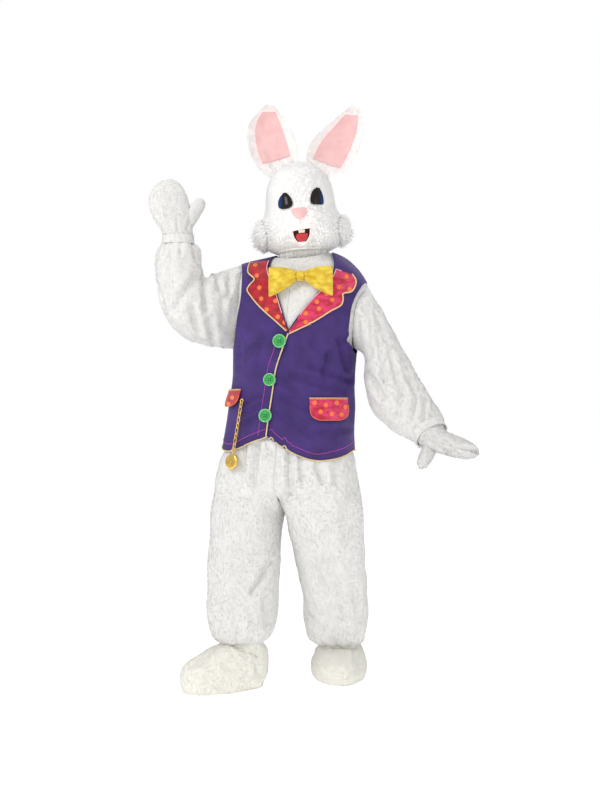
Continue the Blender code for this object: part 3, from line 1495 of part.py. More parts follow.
def mitten(hand, across, along, root, way, cuff, look):
    """Make a mitten's palm, back and thumb, its wrist inside the cuff."""
    middle, axis = cuff.mean(axis=0), unit(np.cross(cuff[1] - cuff[0], cuff[2] - cuff[1]))
    axis = axis if axis @ np.asarray(along) > 0 else -axis
    start = middle - axis * WRIST_INSET
    matrix = frame(start, across, along)
    table = resample(MITTEN, MITTEN_ROWS)
    frames = bent_frames(start, axis, matrix, table["along"])
    last = frames[-1]
    matrix = frame(last[0] - last[3] * table["along"][-1], last[1], last[3])
    inner = middle + (cuff - middle) * (1 - (PLUSH + 0.0009) / np.linalg.norm(cuff - middle, axis=1))[:, None]
    inner = inner - axis * WRIST_INSET

    def rings(turns, grown):
        made = []
        for row in range(MITTEN_ROWS):
            if row == 0:
                ring = wrist_ring(inner, frames[0], turns)
                ring = ring + unit(ring - start) * grown
            else:
                near = max(0.0, 1 - table["along"][row] / 0.06)
                wide = table["half_width"][row] + grown + 0.0005 * near
                deep = max(table["half_depth"][row] + grown + 0.006 * near, 0.0)
                ring = hand_ring(frames[row], wide, deep, table["shift"][row], turns)
            made.append(ring)
        return np.array(made)

    reach, radii = column(THUMB, "along"), column(THUMB, "radius")
    root, direction = np.array(root), unit(np.array(way, dtype=float))
    side = unit(np.cross(np.cross(direction, Z_AXIS), direction))
    flat = np.cross(direction, side)

    def thumb_form(name, shrink, start_at, sides=10):
        made = []
        for distance, radius in zip(reach, radii):
            distance = start_at if distance == 0 else distance - shrink
            ring = []
            for k in range(sides):
                turn = 2 * math.pi * k / sides
                spoke = math.cos(turn) * side + 0.86 * math.sin(turn) * flat
                ring.append(root + direction * distance + spoke * max(radius - shrink, 0.002))
            made.append(ring)
        return capped_tube(name, place_in(matrix, made), look)

    turns = np.linspace(0, math.pi, MITTEN_COLUMNS)
    behind = np.array([item[2] for item in frames])
    sideways = np.array([item[1] for item in frames])
    for face, name in ((1, f"mitten_{hand}_palm"), (-1, f"mitten_{hand}_back")):
        points = rings(face * turns, 0.0)
        seams = {
            "first_column": seam_line(points[:, 0], behind, -sideways),
            "last_column": seam_line(points[:, -1], behind, sideways),
            "last_row": np.tile(last[3], (MITTEN_COLUMNS, 1)),
        }
        points[:, 0] -= face * HALF_SEAM * behind
        points[:, -1] -= face * HALF_SEAM * behind
        points[-1, 1:-1] -= face * HALF_SEAM * behind[-1]
        half = wall(name, points, PLUSH, look, seams=seams)
        boolean(half, thumb_form(f"{name}_bore", PLUSH, 0.008), "DIFFERENCE")
    whole = np.linspace(0, 2 * math.pi, 2 * (MITTEN_COLUMNS - 1), endpoint=False)
    room_rings = rings(whole, 0.0007)
    room_rings[-1] += last[3] * 0.0005
    room = capped_tube(f"mitten_{hand}_room", room_rings, look)
    thumb = thumb_form(f"mitten_{hand}_thumb", 0.0, 0.0)
    boolean(thumb, thumb_form(f"thumb_{hand}_hollow", PLUSH, -0.02), "DIFFERENCE")
    boolean(thumb, room, "DIFFERENCE")


def shoe(hand, table, direction, ahead, lift, look, sole_look):
    """Make a shoe cover's upper, its collar inside the trouser hem, and its sole."""
    columns = 2 * (SUIT_COLUMNS - 1)
    around = np.linspace(0, 2 * math.pi, columns, endpoint=False)
    middle = np.array([(table[1][1] + table[1][2]) / 2, table[1][3], 0.0])
    forward = math.atan2(direction[1], direction[0])
    rings = []
    rows = resample(SHOE, 6)
    for row, (height, toe, heel, wide) in enumerate(zip(*(rows[name] for name in SHOE[0]))):
        moved = ahead * (1 - row / 6)
        cosine, sine = np.cos(around - forward), np.sin(around - forward)
        along = np.where(cosine > 0, toe, heel) * np.sign(cosine) * np.abs(cosine) ** (2 / 2.2)
        across = wide * np.sign(sine) * np.abs(sine) ** (2 / 2.2)
        along = along + moved
        x = along * math.cos(forward) - across * math.sin(forward)
        y = along * math.sin(forward) + across * math.cos(forward)
        z = SHOE[1][0] + (height - SHOE[1][0]) * lift
        rings.append(middle + np.stack([x, y, np.full_like(x, z)], axis=-1))
    power = 2 / 2.3
    half = abs(table[1][1] - table[1][2]) / 2 - PLUSH - 0.0009
    half_depth = table[1][4] - PLUSH - 0.0009
    cosine, sine = np.cos(around), np.sin(around)
    x = half * np.sign(cosine) * np.abs(cosine) ** power
    y = half_depth * np.sign(sine) * np.abs(sine) ** power
    for z in (table[1][0] - 0.004, table[1][0] + 0.004, table[1][0] + 0.016):
        rings.append(middle + np.stack([x, y, np.full_like(x, z)], axis=-1))
    rings = np.array(rings)
    wall(f"shoe_cover_{hand}", rings, PLUSH, look, wrap=True)
    low = rings[0] * np.array([1.0, 1.0, 0.0])
    capped_tube(f"shoe_sole_{hand}", [low, low + SHOE_SOLE * Z_AXIS], sole_look)


def main():
    """Build every piece of the costume."""
    for item in list(bpy.data.objects):
        bpy.data.objects.remove(item, do_unlink=True)
    plush = material("plush_white", (0.80, 0.79, 0.75), 0.95)
    cream = material("plush_cream", (0.72, 0.69, 0.60), 0.95)
    pink = material("plush_pink", (0.88, 0.60, 0.58), 0.9)
    purple = material("purple_cloth", (0.06, 0.02, 0.16), 0.7)
    red = material("red_satin", (0.6, 0.01, 0.03), 0.4)
    yellow = material("yellow_satin", (0.85, 0.62, 0.05), 0.4)
    gold = material("gold_braid", (0.75, 0.5, 0.1), 0.45, 0.3)
    brass = material("brass", (0.70, 0.50, 0.16), 0.3, 1.0)
    green = material("green_plastic", (0.03, 0.33, 0.08), 0.3)
    black = material("black_plastic", (0.01, 0.01, 0.012), 0.1)
    dark = material("mouth_cloth", (0.05, 0.01, 0.01), 0.8)
    tongue = material("tongue_cloth", (0.60, 0.03, 0.04), 0.7)
    teeth = material("teeth_cloth", (0.85, 0.80, 0.66), 0.6)
    for side, hand in ((-1, "right"), (1, "left")):
        for face, place in ((1, "front"), (-1, "back")):
            suit_panel(f"suit_{place}_{hand}", side, face, plush)
        cuff = sleeve(side, hand, plush, plush)
        if side < 0:
            along, across = (-0.27, 0.0, 1.0), (1.0, 0.0, 0.0)
            mitten(hand, across, along, THUMB_ROOT_RIGHT, THUMB_WAY_RIGHT, cuff, plush)
        else:
            along, across = (0.60, -0.76, -0.20), (-0.1, -1.0, 0.0)
            mitten(hand, across, along, THUMB_ROOT_LEFT, THUMB_WAY_LEFT, cuff, plush)
    fronts = vest(purple)
    for hand, table in (("right", LAPEL_RIGHT), ("left", LAPEL_LEFT)):
        _, face = strip(f"lapel_{hand}", table, red, LAPEL_LIFT, LAPEL_THICKNESS, rows=12)
        braid(f"lapel_{hand}_braid", face[:, -1], face[:, -2], gold)
    edge = fronts[-1][:VEST_SIDE_ROWS, 0]
    braid("vest_front_braid", edge, fronts[-1][:VEST_SIDE_ROWS, 1], gold)
    for name, table in (("pocket_flap_left", FLAP_LEFT), ("pocket_flap_right", FLAP_RIGHT)):
        strip(name, flap_table(table), red, column(table, "lift"), FLAP_THICKNESS, columns=7)
    for number, (across, height, radius) in enumerate(BUTTONS[1:], start=1):
        point, out = surface_frame(across, height)
        button = turned(f"button_{number}", point, out, BUTTON_PROFILE, radius, green, 14)
        first = unit(np.cross(out, Z_AXIS))
        second = np.cross(out, first)
        pins = []
        for k in range(4):
            turn = math.pi / 4 + k * math.pi / 2
            spoke = (math.cos(turn) * first + math.sin(turn) * second) * radius * BUTTON_HOLE_PLACE
            start = point + spoke
            pins.append(rod("pin", start, start + out * 0.02, BUTTON_HOLE, green))
        boolean(button, merge(f"button_{number}_holes", pins, green), "DIFFERENCE")
    watch_and_chain(brass)
    bow_tie(yellow)
    room = mask_shell(plush, dark)
    neck_skirt(plush)
    for hand, table in (("right", EAR_RIGHT), ("left", EAR_LEFT)):
        ear(hand, table, plush, pink, room)
    face_piece("eye_right", EYE_RIGHT, black, 0.0012, 0.0040, dome=0.005, rows=7)
    face_piece("eye_left", EYE_LEFT, black, 0.0012, 0.0040, dome=0.005, rows=7)
    face_piece("nose", NOSE, pink, 0.0012, 0.0040, dome=0.007, rows=6)
    face_piece("mouth_lining", MOUTH_LINING, dark, -0.0165, -0.0145, dome=-0.007)
    face_piece("tongue", TONGUE, tongue, -0.0134, -0.0010, dome=0.002)
    face_piece("teeth", TEETH, teeth, -0.0080, -0.0010)
    shoe("right", LEG_RIGHT, (-0.79, -0.61), 0.024, 1.13, cream, cream)
    shoe("left", LEG_LEFT, (-0.03, -1.0), 0.0, 0.82, cream, cream)


if __name__ == "__main__":
    main()
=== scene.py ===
"""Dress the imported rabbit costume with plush, satin, braid, stitching and buttons."""

from __future__ import annotations

import json
import logging
import math
from dataclasses import dataclass, field
from enum import Enum
from typing import Callable, Iterable, Optional, Protocol, Sequence

import bmesh
import bpy
import numpy as np
from mathutils import Matrix, Vector
from mathutils.bvhtree import BVHTree

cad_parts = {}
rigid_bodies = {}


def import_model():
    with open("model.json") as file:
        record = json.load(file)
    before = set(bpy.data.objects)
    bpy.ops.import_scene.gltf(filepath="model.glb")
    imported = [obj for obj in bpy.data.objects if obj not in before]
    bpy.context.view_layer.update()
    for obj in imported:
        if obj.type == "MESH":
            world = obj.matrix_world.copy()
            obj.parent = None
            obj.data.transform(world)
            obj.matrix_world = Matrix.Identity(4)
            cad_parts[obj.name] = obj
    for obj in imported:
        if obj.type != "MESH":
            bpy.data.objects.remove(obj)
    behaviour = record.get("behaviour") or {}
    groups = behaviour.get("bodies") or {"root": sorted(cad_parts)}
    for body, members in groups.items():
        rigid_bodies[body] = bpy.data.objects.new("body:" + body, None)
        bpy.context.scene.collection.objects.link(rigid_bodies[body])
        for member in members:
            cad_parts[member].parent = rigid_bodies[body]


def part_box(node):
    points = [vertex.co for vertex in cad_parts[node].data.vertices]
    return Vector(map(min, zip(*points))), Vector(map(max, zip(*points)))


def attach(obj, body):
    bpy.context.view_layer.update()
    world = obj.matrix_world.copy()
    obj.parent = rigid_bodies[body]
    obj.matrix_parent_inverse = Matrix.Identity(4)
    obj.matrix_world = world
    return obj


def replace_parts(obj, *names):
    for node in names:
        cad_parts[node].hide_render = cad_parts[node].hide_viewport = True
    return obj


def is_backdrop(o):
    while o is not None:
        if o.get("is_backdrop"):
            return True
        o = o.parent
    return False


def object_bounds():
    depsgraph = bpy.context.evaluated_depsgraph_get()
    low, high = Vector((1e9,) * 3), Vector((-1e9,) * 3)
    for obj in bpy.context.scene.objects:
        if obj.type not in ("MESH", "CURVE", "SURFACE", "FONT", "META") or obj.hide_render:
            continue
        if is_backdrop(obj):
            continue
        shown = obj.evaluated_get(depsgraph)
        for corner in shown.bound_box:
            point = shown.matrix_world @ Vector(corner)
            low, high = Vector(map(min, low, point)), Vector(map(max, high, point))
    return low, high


LOG = logging.getLogger("rabbit_costume")
COSTUME = "costume"
WATCH_BODY = "watch_and_chain"
HANDS = ("right", "left")
FACES = ("front", "back")
FLOOR = -1.45
HEM_TOP = -0.585  # a waistcoat panel's edge is its hem under this height
SHARP = math.radians(48.0)
COVER_REACH = 0.12  # cloth this near over a place hides its tufts
SHORTEST_TUFT = 0.001
TUFT_DISORDER = 0.14
ROOT_DEPTH = 0.0006  # how far a tuft's root lies under the cloth
UNDER_VEST = 0.0080  # how far the suit is drawn in under the waistcoat
CORD_STEP = 0.0012
STITCH_STEP = 0.0009

Points = np.ndarray
Colour = tuple[float, float, float]
Material = bpy.types.Material
Piece = bpy.types.Object
Measure = Callable[[Points], Points]  # one number for each place
Guide = Callable[[Points, Points], Points]  # from places and their outward directions

# the colour of the painted light that the plush and tufts give off
WARM_WHITE: Colour = (1.0, 0.985, 0.96)
PURE_WHITE: Colour = (1.0, 1.0, 1.0)
ORANGE: Colour = (0.95, 0.22, 0.035)
PLUSH_WHITE: Colour = (0.755, 0.745, 0.725)
PLUSH_SHADE: Colour = (0.69, 0.68, 0.655)

# centre lines of the body's hollow parts, from which folds and plush point outwards
TORSO_LINE = (
    (-0.036, 0.0, -0.800),
    (-0.026, 0.0, -0.550),
    (-0.014, 0.0, -0.376),
    (0.003, 0.0, -0.150),
    (0.018, 0.0, 0.080),
)
RIGHT_LEG_LINE = (
    (-0.193, -0.060, -1.300),
    (-0.191, -0.040, -1.180),
    (-0.188, -0.012, -1.042),
    (-0.184, 0.006, -0.956),
    (-0.150, 0.020, -0.850),
    (-0.036, 0.000, -0.740),
)
LEFT_LEG_LINE = (
    (0.152, 0.118, -1.344),
    (0.141, 0.088, -1.200),
    (0.125, 0.054, -1.080),
    (0.113, 0.020, -0.989),
    (0.080, -0.020, -0.850),
    (-0.036, 0.000, -0.740),
)
RIGHT_SLEEVE_LINE = (
    (-0.256, 0.030, -0.138),
    (-0.308, 0.008, -0.138),
    (-0.348, -0.010, -0.143),
    (-0.377, -0.026, -0.128),
    (-0.395, -0.038, -0.091),
    (-0.409, -0.048, -0.047),
    (-0.414, -0.062, 0.043),
    (-0.414, -0.068, 0.130),
    (-0.440, -0.068, 0.310),
)
LEFT_SLEEVE_LINE = (
    (0.248, -0.070, -0.199),
    (0.268, -0.076, -0.255),
    (0.291, -0.086, -0.330),
    (0.314, -0.104, -0.402),
    (0.353, -0.128, -0.468),
    (0.396, -0.150, -0.516),
    (0.442, -0.178, -0.560),
    (0.560, -0.330, -0.605),
)
LEG_LINES = {"right": RIGHT_LEG_LINE, "left": LEFT_LEG_LINE}
SLEEVE_LINES = {"right": RIGHT_SLEEVE_LINE, "left": LEFT_SLEEVE_LINE}
MASK_LINE = ((0.022, -0.004, 0.060), (0.018, -0.004, 0.240), (0.015, -0.004, 0.300))
SHOE_LINES = {
    "right": ((-0.180, -0.050, -1.420), (-0.340, -0.175, -1.430)),
    "left": ((0.152, 0.120, -1.420), (0.150, -0.050, -1.430)),
}

# creases in the view from the front: two ends across and up, depth and width
LEG_CREASES = (
    (-0.188, -0.632, -0.185, -0.700, 0.008, 0.012),
    (-0.143, -0.620, -0.151, -0.735, 0.010, 0.013),
    (-0.225, -0.640, -0.232, -0.690, 0.005, 0.012),
    (-0.100, -0.630, -0.096, -0.700, 0.006, 0.012),
    (-0.259, -0.768, -0.265, -0.893, 0.005, 0.018),
    (-0.070, -0.666, -0.062, -0.800, 0.005, 0.014),
    (-0.151, -1.114, -0.088, -1.020, 0.009, 0.012),
    (-0.215, -1.034, -0.118, -1.025, 0.005, 0.016),
    (-0.213, -1.165, -0.196, -1.250, 0.004, 0.014),
    (-0.110, -1.136, -0.098, -1.225, 0.005, 0.013),
    (-0.285, -1.050, -0.262, -1.120, 0.004, 0.014),
    (-0.023, -0.640, -0.026, -0.775, 0.012, 0.013),
    (0.011, -0.643, 0.016, -0.730, 0.008, 0.012),
    (0.071, -0.683, 0.088, -0.731, 0.009, 0.012),
    (0.130, -0.660, 0.136, -0.740, 0.005, 0.014),
    (0.172, -0.836, 0.167, -0.995, 0.004, 0.018),
    (0.046, -0.961, 0.082, -1.142, 0.005, 0.018),
    (0.144, -1.108, 0.172, -1.222, 0.005, 0.015),
    (0.041, -1.233, 0.087, -1.273, 0.006, 0.012),
    (0.200, -1.108, 0.215, -1.239, 0.004, 0.013),
    (0.110, -0.915, 0.127, -1.063, 0.003, 0.018),
)
VEST_CREASES = (
    (0.142, -0.258, 0.197, -0.253, 0.005, 0.010),
    (0.149, -0.272, 0.166, -0.349, 0.006, 0.010),
    (0.046, -0.344, 0.180, -0.392, 0.0045, 0.010),
    (-0.016, -0.377, 0.156, -0.430, 0.0045, 0.012),
    (0.113, -0.301, 0.094, -0.377, 0.004, 0.011),
    (-0.068, -0.506, 0.046, -0.578, 0.0045, 0.011),
    (-0.059, -0.444, 0.037, -0.492, 0.004, 0.011),
    (0.066, -0.564, 0.175, -0.559, 0.003, 0.012),
    (-0.193, -0.301, -0.135, -0.272, 0.0035, 0.010),
    (-0.178, -0.473, -0.124, -0.444, 0.004, 0.008),
    (-0.178, -0.502, -0.126, -0.478, 0.004, 0.008),
    (-0.178, -0.540, -0.130, -0.516, 0.0035, 0.008),
    (-0.202, -0.272, -0.200, -0.349, 0.003, 0.010),
    (-0.110, -0.224, -0.140, -0.339, 0.003, 0.012),
    (-0.001, -0.253, 0.003, -0.330, 0.0025, 0.014),
    (-0.050, -0.397, -0.010, -0.425, 0.003, 0.010),
    (0.171, -0.397, 0.185, -0.516, 0.003, 0.012),
    (0.050, -0.270, 0.110, -0.310, 0.003, 0.013),
)
RIGHT_SLEEVE_CREASES = (
    (-0.281, -0.019, -0.266, -0.080, 0.008, 0.010),
    (-0.233, -0.010, -0.239, -0.100, 0.006, 0.011),
    (-0.323, -0.034, -0.314, -0.148, 0.010, 0.011),
    (-0.359, -0.148, -0.341, -0.226, 0.006, 0.012),
    (-0.305, -0.184, -0.293, -0.258, 0.008, 0.012),
    (-0.488, -0.064, -0.461, -0.136, 0.006, 0.010),
    (-0.435, 0.080, -0.432, -0.060, 0.004, 0.014),
    (-0.257, -0.110, -0.257, -0.200, 0.005, 0.012),
    (-0.350, -0.040, -0.419, -0.148, 0.007, 0.012),
    (-0.479, 0.085, -0.482, 0.030, 0.005, 0.009),
    (-0.360, 0.085, -0.348, 0.030, 0.006, 0.009),
    (-0.218, -0.110, -0.238, -0.220, 0.004, 0.012),
    (-0.400, 0.085, -0.398, 0.040, 0.005, 0.008),
    (-0.455, 0.085, -0.458, 0.045, 0.005, 0.008),
)
LEFT_SLEEVE_CREASES = (
    (0.228, -0.130, 0.252, -0.301, 0.007, 0.011),
    (0.209, -0.175, 0.228, -0.330, 0.005, 0.010),
    (0.271, -0.234, 0.300, -0.387, 0.008, 0.012),
    (0.310, -0.301, 0.355, -0.444, 0.007, 0.012),
    (0.243, -0.368, 0.286, -0.454, 0.007, 0.010),
    (0.344, -0.459, 0.339, -0.525, 0.007, 0.010),
    (0.262, -0.397, 0.314, -0.483, 0.005, 0.010),
    (0.267, -0.158, 0.304, -0.263, 0.005, 0.012),
    (0.400, -0.455, 0.385, -0.530, 0.006, 0.009),
    (0.430, -0.470, 0.425, -0.520, 0.005, 0.008),
    (0.365, -0.370, 0.395, -0.430, 0.005, 0.012),
)
SLEEVE_CREASES = {"right": RIGHT_SLEEVE_CREASES, "left": LEFT_SLEEVE_CREASES}
EAR_CREASES = (
    (-0.150, 0.480, -0.060, 0.487, 0.0035, 0.008),
    (-0.100, 0.410, -0.070, 0.350, 0.0030, 0.012),
    (-0.060, 0.400, -0.040, 0.345, 0.0025, 0.010),
    (-0.120, 0.525, -0.095, 0.480, 0.0025, 0.010),
    (0.110, 0.468, 0.215, 0.472, 0.0035, 0.008),
    (0.090, 0.400, 0.150, 0.370, 0.0030, 0.010),
    (0.120, 0.440, 0.180, 0.400, 0.0025, 0.012),
    (0.190, 0.520, 0.205, 0.480, 0.0025, 0.009),
)
SHOE_CREASES = (
    (-0.223, -1.290, -0.138, -1.328, 0.007, 0.011),
    (-0.273, -1.282, -0.326, -1.340, 0.005, 0.012),
    (-0.379, -1.355, -0.302, -1.340, 0.004, 0.012),
    (-0.240, -1.350, -0.170, -1.385, 0.004, 0.013),
    (-0.300, -1.385, -0.250, -1.415, 0.003, 0.013),
    (-0.140, -1.340, -0.128, -1.400, 0.004, 0.011),
    (0.056, -1.329, 0.121, -1.323, 0.006, 0.011),
    (0.097, -1.404, 0.156, -1.407, 0.005, 0.010),
    (0.205, -1.330, 0.215, -1.400, 0.004, 0.012),
    (0.060, -1.370, 0.090, -1.400, 0.004, 0.011),
    (0.140, -1.340, 0.200, -1.352, 0.004, 0.012),
)
MITTEN_CREASES = (
    (-0.440, 0.125, -0.452, 0.190, 0.0035, 0.007),
    (-0.410, 0.120, -0.412, 0.165, 0.0035, 0.006),
    (-0.380, 0.125, -0.372, 0.160, 0.0030, 0.006),
    (0.450, -0.575, 0.500, -0.600, 0.0030, 0.007),
    (0.440, -0.600, 0.480, -0.625, 0.0030, 0.006),
)

# middles of the printed dots, across and up as seen from the front
LAPEL_DOTS = (
    (-0.146, 0.012), (-0.139, -0.030), (-0.130, -0.073), (-0.123, -0.112), (-0.074, -0.121),
    (-0.066, -0.176), (-0.104, -0.150), (-0.042, -0.196), (-0.095, -0.005), (-0.088, -0.060),
    (0.170, -0.038), (0.143, -0.077), (0.100, -0.100), (0.068, -0.127), (0.030, -0.166),
    (0.115, -0.058), (0.180, -0.083), (0.030, -0.196), (0.075, -0.150), (0.120, -0.120),
)
FLAP_DOTS = (
    (0.060, -0.470), (0.098, -0.478), (0.136, -0.470), (0.166, -0.484), (0.080, -0.500),
    (0.118, -0.508), (0.152, -0.510), (-0.226, -0.452), (-0.205, -0.468), (-0.240, -0.474),
)
DOT_RADIUS = 0.0085

# the face, in the mask's own frame
MASK_PLACE = (0.016, -0.006, 0.052)
MASK_ROLL = math.radians(-4.0)
NOSE_MIDDLE = (0.0, -0.178, 0.120)
CHEEK_HEIGHT = 0.078
MOUTH_EDGE = (
    (-0.0264, 0.0630),
    (-0.0230, 0.0430),
    (-0.0120, 0.0270),
    (0.0040, 0.0210),
    (0.0180, 0.0270),
    (0.0300, 0.0450),
    (0.0333, 0.0690),
)


class Slot(Enum):
    """The record's material slots."""

    WHITE = "white_plush"
    CREAM = "cream_plush"
    PINK = "pink_plush"
    PURPLE = "purple_cloth"
    RED = "red_satin"
    YELLOW = "yellow_satin"
    BRAID = "gold_braid"
    MOUTH = "mouth_cloth"
    TONGUE = "tongue_cloth"
    TEETH = "teeth_cloth"
    GREEN = "green_plastic"
    BLACK = "black_plastic"
    BRASS = "brass"


class Held(Enum):
    """How a piece of cloth is held."""

    HUNG = "hung"
    GATHERED = "gathered"
    STRETCHED = "stretched"
    FOLDED = "folded"


class ShaderBook:
    """A material under construction, with short calls for its nodes."""

    def __init__(self, name: str, **values: object) -> None:
        """Start a material whose shader takes the given socket values."""
        self.material = bpy.data.materials.new(name)
        self.material.use_nodes = True
        self.tree = self.material.node_tree
        self.shader = self.tree.nodes["Principled BSDF"]
        for label, value in values.items():
            self.shader.inputs[label.replace("_", " ")].default_value = value
        self.place = self.node("ShaderNodeTexCoord").outputs["Object"]

    def node(self, kind: str, **values: object) -> bpy.types.Node:
        """Add one node and set its named properties."""
        made = self.tree.nodes.new(kind)
        for label, value in values.items():
            setattr(made, label, value)
        return made

    def link(self, source: object, target: object) -> None:
        """Join one socket to another."""
        self.tree.links.new(source, target)

    def mapped(self, scale: Sequence[float], turn: Sequence[float] = (0, 0, 0)) -> object:
        """Return the object's coordinates, scaled and turned."""
        made = self.node("ShaderNodeMapping")
        made.inputs["Scale"].default_value = scale
        made.inputs["Rotation"].default_value = turn
        self.link(self.place, made.inputs["Vector"])
        return made.outputs["Vector"]

    def noise(self, size: float, detail: float = 2.0, where: Optional[object] = None) -> object:
        """Return noise whose grains are about size metres across."""
        made = self.node("ShaderNodeTexNoise")
        made.inputs["Scale"].default_value = 1.0 / size
        made.inputs["Detail"].default_value = detail
        self.link(where or self.place, made.inputs["Vector"])
        return made.outputs["Fac"]

    def bands(self, size: float, where: Optional[object] = None, wobble: float = 0.0) -> object:
        """Return soft bands, size metres from one to the next."""
        made = self.node("ShaderNodeTexWave")
        made.inputs["Scale"].default_value = 0.314 / size
        made.inputs["Distortion"].default_value = wobble
        self.link(where or self.place, made.inputs["Vector"])
        return made.outputs["Fac"]

    def attribute(self, name: str) -> object:
        """Return the value of a point attribute."""
        return self.node("ShaderNodeAttribute", attribute_name=name).outputs["Fac"]

    def ramp(self, source: object, stops: Sequence[tuple[float, Colour]]) -> object:
        """Turn a value into colours at stops."""
        made = self.node("ShaderNodeValToRGB")
        elements = made.color_ramp.elements
        while len(elements) < len(stops):
            elements.new(0.5)
        for element, (at, colour) in zip(elements, stops):
            element.position = at
            element.color = (*colour, 1.0)
        self.link(source, made.inputs["Fac"])
        return made.outputs["Color"]

    def mix(self, share: object, first: object, second: object, mode: str = "MIX") -> object:
        """Mix two colours, given as sockets or values."""
        made = self.node("ShaderNodeMix", data_type="RGBA", blend_type=mode)
        for socket, value in zip((0, 6, 7), (share, first, second)):
            if isinstance(value, bpy.types.NodeSocket):
                self.link(value, made.inputs[socket])
            elif socket == 0:
                made.inputs[0].default_value = value
            else:
                made.inputs[socket].default_value = (*value, 1.0)
        return made.outputs[2]

    def add(self, first: object, second: object, share: float = 1.0) -> object:
        """Return first plus share times second."""
        made = self.node("ShaderNodeMath", operation="MULTIPLY_ADD")
        made.inputs[1].default_value = share
        self.link(second, made.inputs[0])
        self.link(first, made.inputs[2])
        return made.outputs["Value"]

    def glow(self, strength: float, colour: Colour = WARM_WHITE) -> None:
        """Let the shader give a little light of its own."""
        self.shader.inputs["Emission Color"].default_value = (*colour, 1.0)
        self.shader.inputs["Emission Strength"].default_value = strength

    def finish(self, colour: object, height: object, depth: float) -> Material:
        """Join the colour and the relief to the shader and return the material."""
        bump = self.node("ShaderNodeBump")
        bump.inputs["Strength"].default_value = 0.8
        bump.inputs["Distance"].default_value = depth
        self.link(height, bump.inputs["Height"])
        self.link(bump.outputs["Normal"], self.shader.inputs["Normal"])
        self.link(colour, self.shader.inputs["Base Color"])
        return self.material


@dataclass(frozen=True)
class PlushFinish:
    """Short-pile plush: a soft matt cloth with a fine nap, seen between the tufts."""

    name: str
    light: Colour
    shade: Colour
    nap: float = 0.0016
    depth: float = 0.0009
    blush: Optional[Colour] = None
    # glow: painted light, an emission that brightens the plush beyond what the lamps give
    glow: float = 0.0

    def make(self) -> Material:
        """Return the plush material."""
        book = ShaderBook(self.name, Roughness=0.95, Sheen_Weight=0.25, Sheen_Roughness=0.6)
        book.glow(self.glow)
        patches = book.noise(0.045, 3.0)
        nap = book.noise(self.nap, 2.0, book.mapped((1.0, 1.0, 0.45)))
        tone = book.ramp(patches, ((0.35, self.shade), (0.62, self.light)))
        speckle = book.ramp(nap, ((0.3, self.shade), (0.55, self.light)))
        colour = book.mix(0.4, tone, speckle)
        if self.blush:
            colour = book.mix(book.attribute("blush"), colour, self.blush)
        return book.finish(colour, book.add(nap, patches, 0.5), self.depth)


@dataclass(frozen=True)
class TuftFinish:
    """Loose plush fibre, darker at its root than at its tip as painted shade among the fibres."""

    name: str
    # root: the colour at a tuft's base, darker than its tip: painted shade among the fibres
    root: Colour
    tip: Colour
    blush: Optional[Colour] = None
    # glow: painted light, an emission that brightens the tufts beyond what the lamps give
    glow: float = 0.0

    def make(self) -> Material:
        """Return the fibre material."""
        book = ShaderBook(self.name, Roughness=0.85, Sheen_Weight=0.2)
        book.glow(self.glow)
        patches = book.noise(0.03, 2.0)
        tip = book.mix(patches, self.tip, tuple(0.97 * c for c in self.tip))
        if self.blush:
            tip = book.mix(book.attribute("blush"), tip, self.blush)
        # painted shade: the colour runs from the darker root colour at the tuft's base to the tip colour
        book.link(book.mix(book.attribute("along"), self.root, tip), book.shader.inputs["Base Color"])
        ground = book.node("ShaderNodeAttribute", attribute_name="ground").outputs["Vector"]
        facing = book.node("ShaderNodeMix", data_type="VECTOR")
        facing.inputs[0].default_value = 0.85
        book.link(book.node("ShaderNodeNewGeometry").outputs["Normal"], facing.inputs[4])
        book.link(ground, facing.inputs[5])
        book.link(facing.outputs[1], book.shader.inputs["Normal"])
        return book.material


@dataclass(frozen=True)
class KnitFinish:
    """Smooth brushed knit cloth with a soft sheen and fine wales."""

    name: str
    deep: Colour
    light: Colour
    sheen: Colour
    wale: float = 0.0011
    roughness: float = 0.62

    def make(self) -> Material:
        """Return the knit material."""
        book = ShaderBook(
            self.name,
            Roughness=self.roughness,
            Sheen_Weight=0.10,
            Sheen_Roughness=0.35,
            Sheen_Tint=(*self.sheen, 1.0),
        )
        wales = book.bands(self.wale, book.mapped((1.0, 0.6, 0.0)), 0.5)
        courses = book.bands(self.wale, book.mapped((0.0, 0.0, 1.0), (0, math.pi / 2, 0)), 0.5)
        grain = book.noise(0.0025, 3.0)
        cloudy = book.noise(0.05, 3.0)
        tone = book.ramp(cloudy, ((0.3, self.deep), (0.72, self.light)))
        colour = book.mix(0.25, tone, book.ramp(grain, ((0.3, self.deep), (0.7, self.light))))
        relief = book.add(book.add(wales, courses, 0.7), grain, 0.8)
        return book.finish(colour, relief, 0.00035)


@dataclass(frozen=True)
class SatinFinish:
    """Glossy satin with crossing threads, painted sheen streaks, and printed dots where the dots attribute
    is small.
    """

    name: str
    deep: Colour
    # bright: the colour of the painted sheen's bright streaks
    bright: Colour
    dot: Optional[Colour] = None
    roughness: float = 0.34

    def make(self) -> Material:
        """Return the satin material."""
        book = ShaderBook(
            self.name, Roughness=self.roughness, Sheen_Weight=0.08, Anisotropic=0.4
        )
        threads = book.bands(0.0007, book.mapped((1.0, 0.4, 0.5)), 1.0)
        # painted sheen: stretched noise mixes the deep colour with the bright one in streaks, standing in
        # for the satin's sheen and highlights
        sheen = book.noise(0.028, 3.0, book.mapped((1.0, 1.0, 1.8), (0, 0.6, 0)))
        colour = book.ramp(sheen, ((0.36, self.deep), (0.64, self.bright)))
        if self.dot:
            edge = book.add(book.attribute("dots"), book.noise(0.006), 0.10)
            paint = book.ramp(edge, ((0.44, (1, 1, 1)), (0.56, (0, 0, 0))))
            colour = book.mix(paint, colour, self.dot)
        return book.finish(colour, book.add(threads, sheen, 2.0), 0.0004)


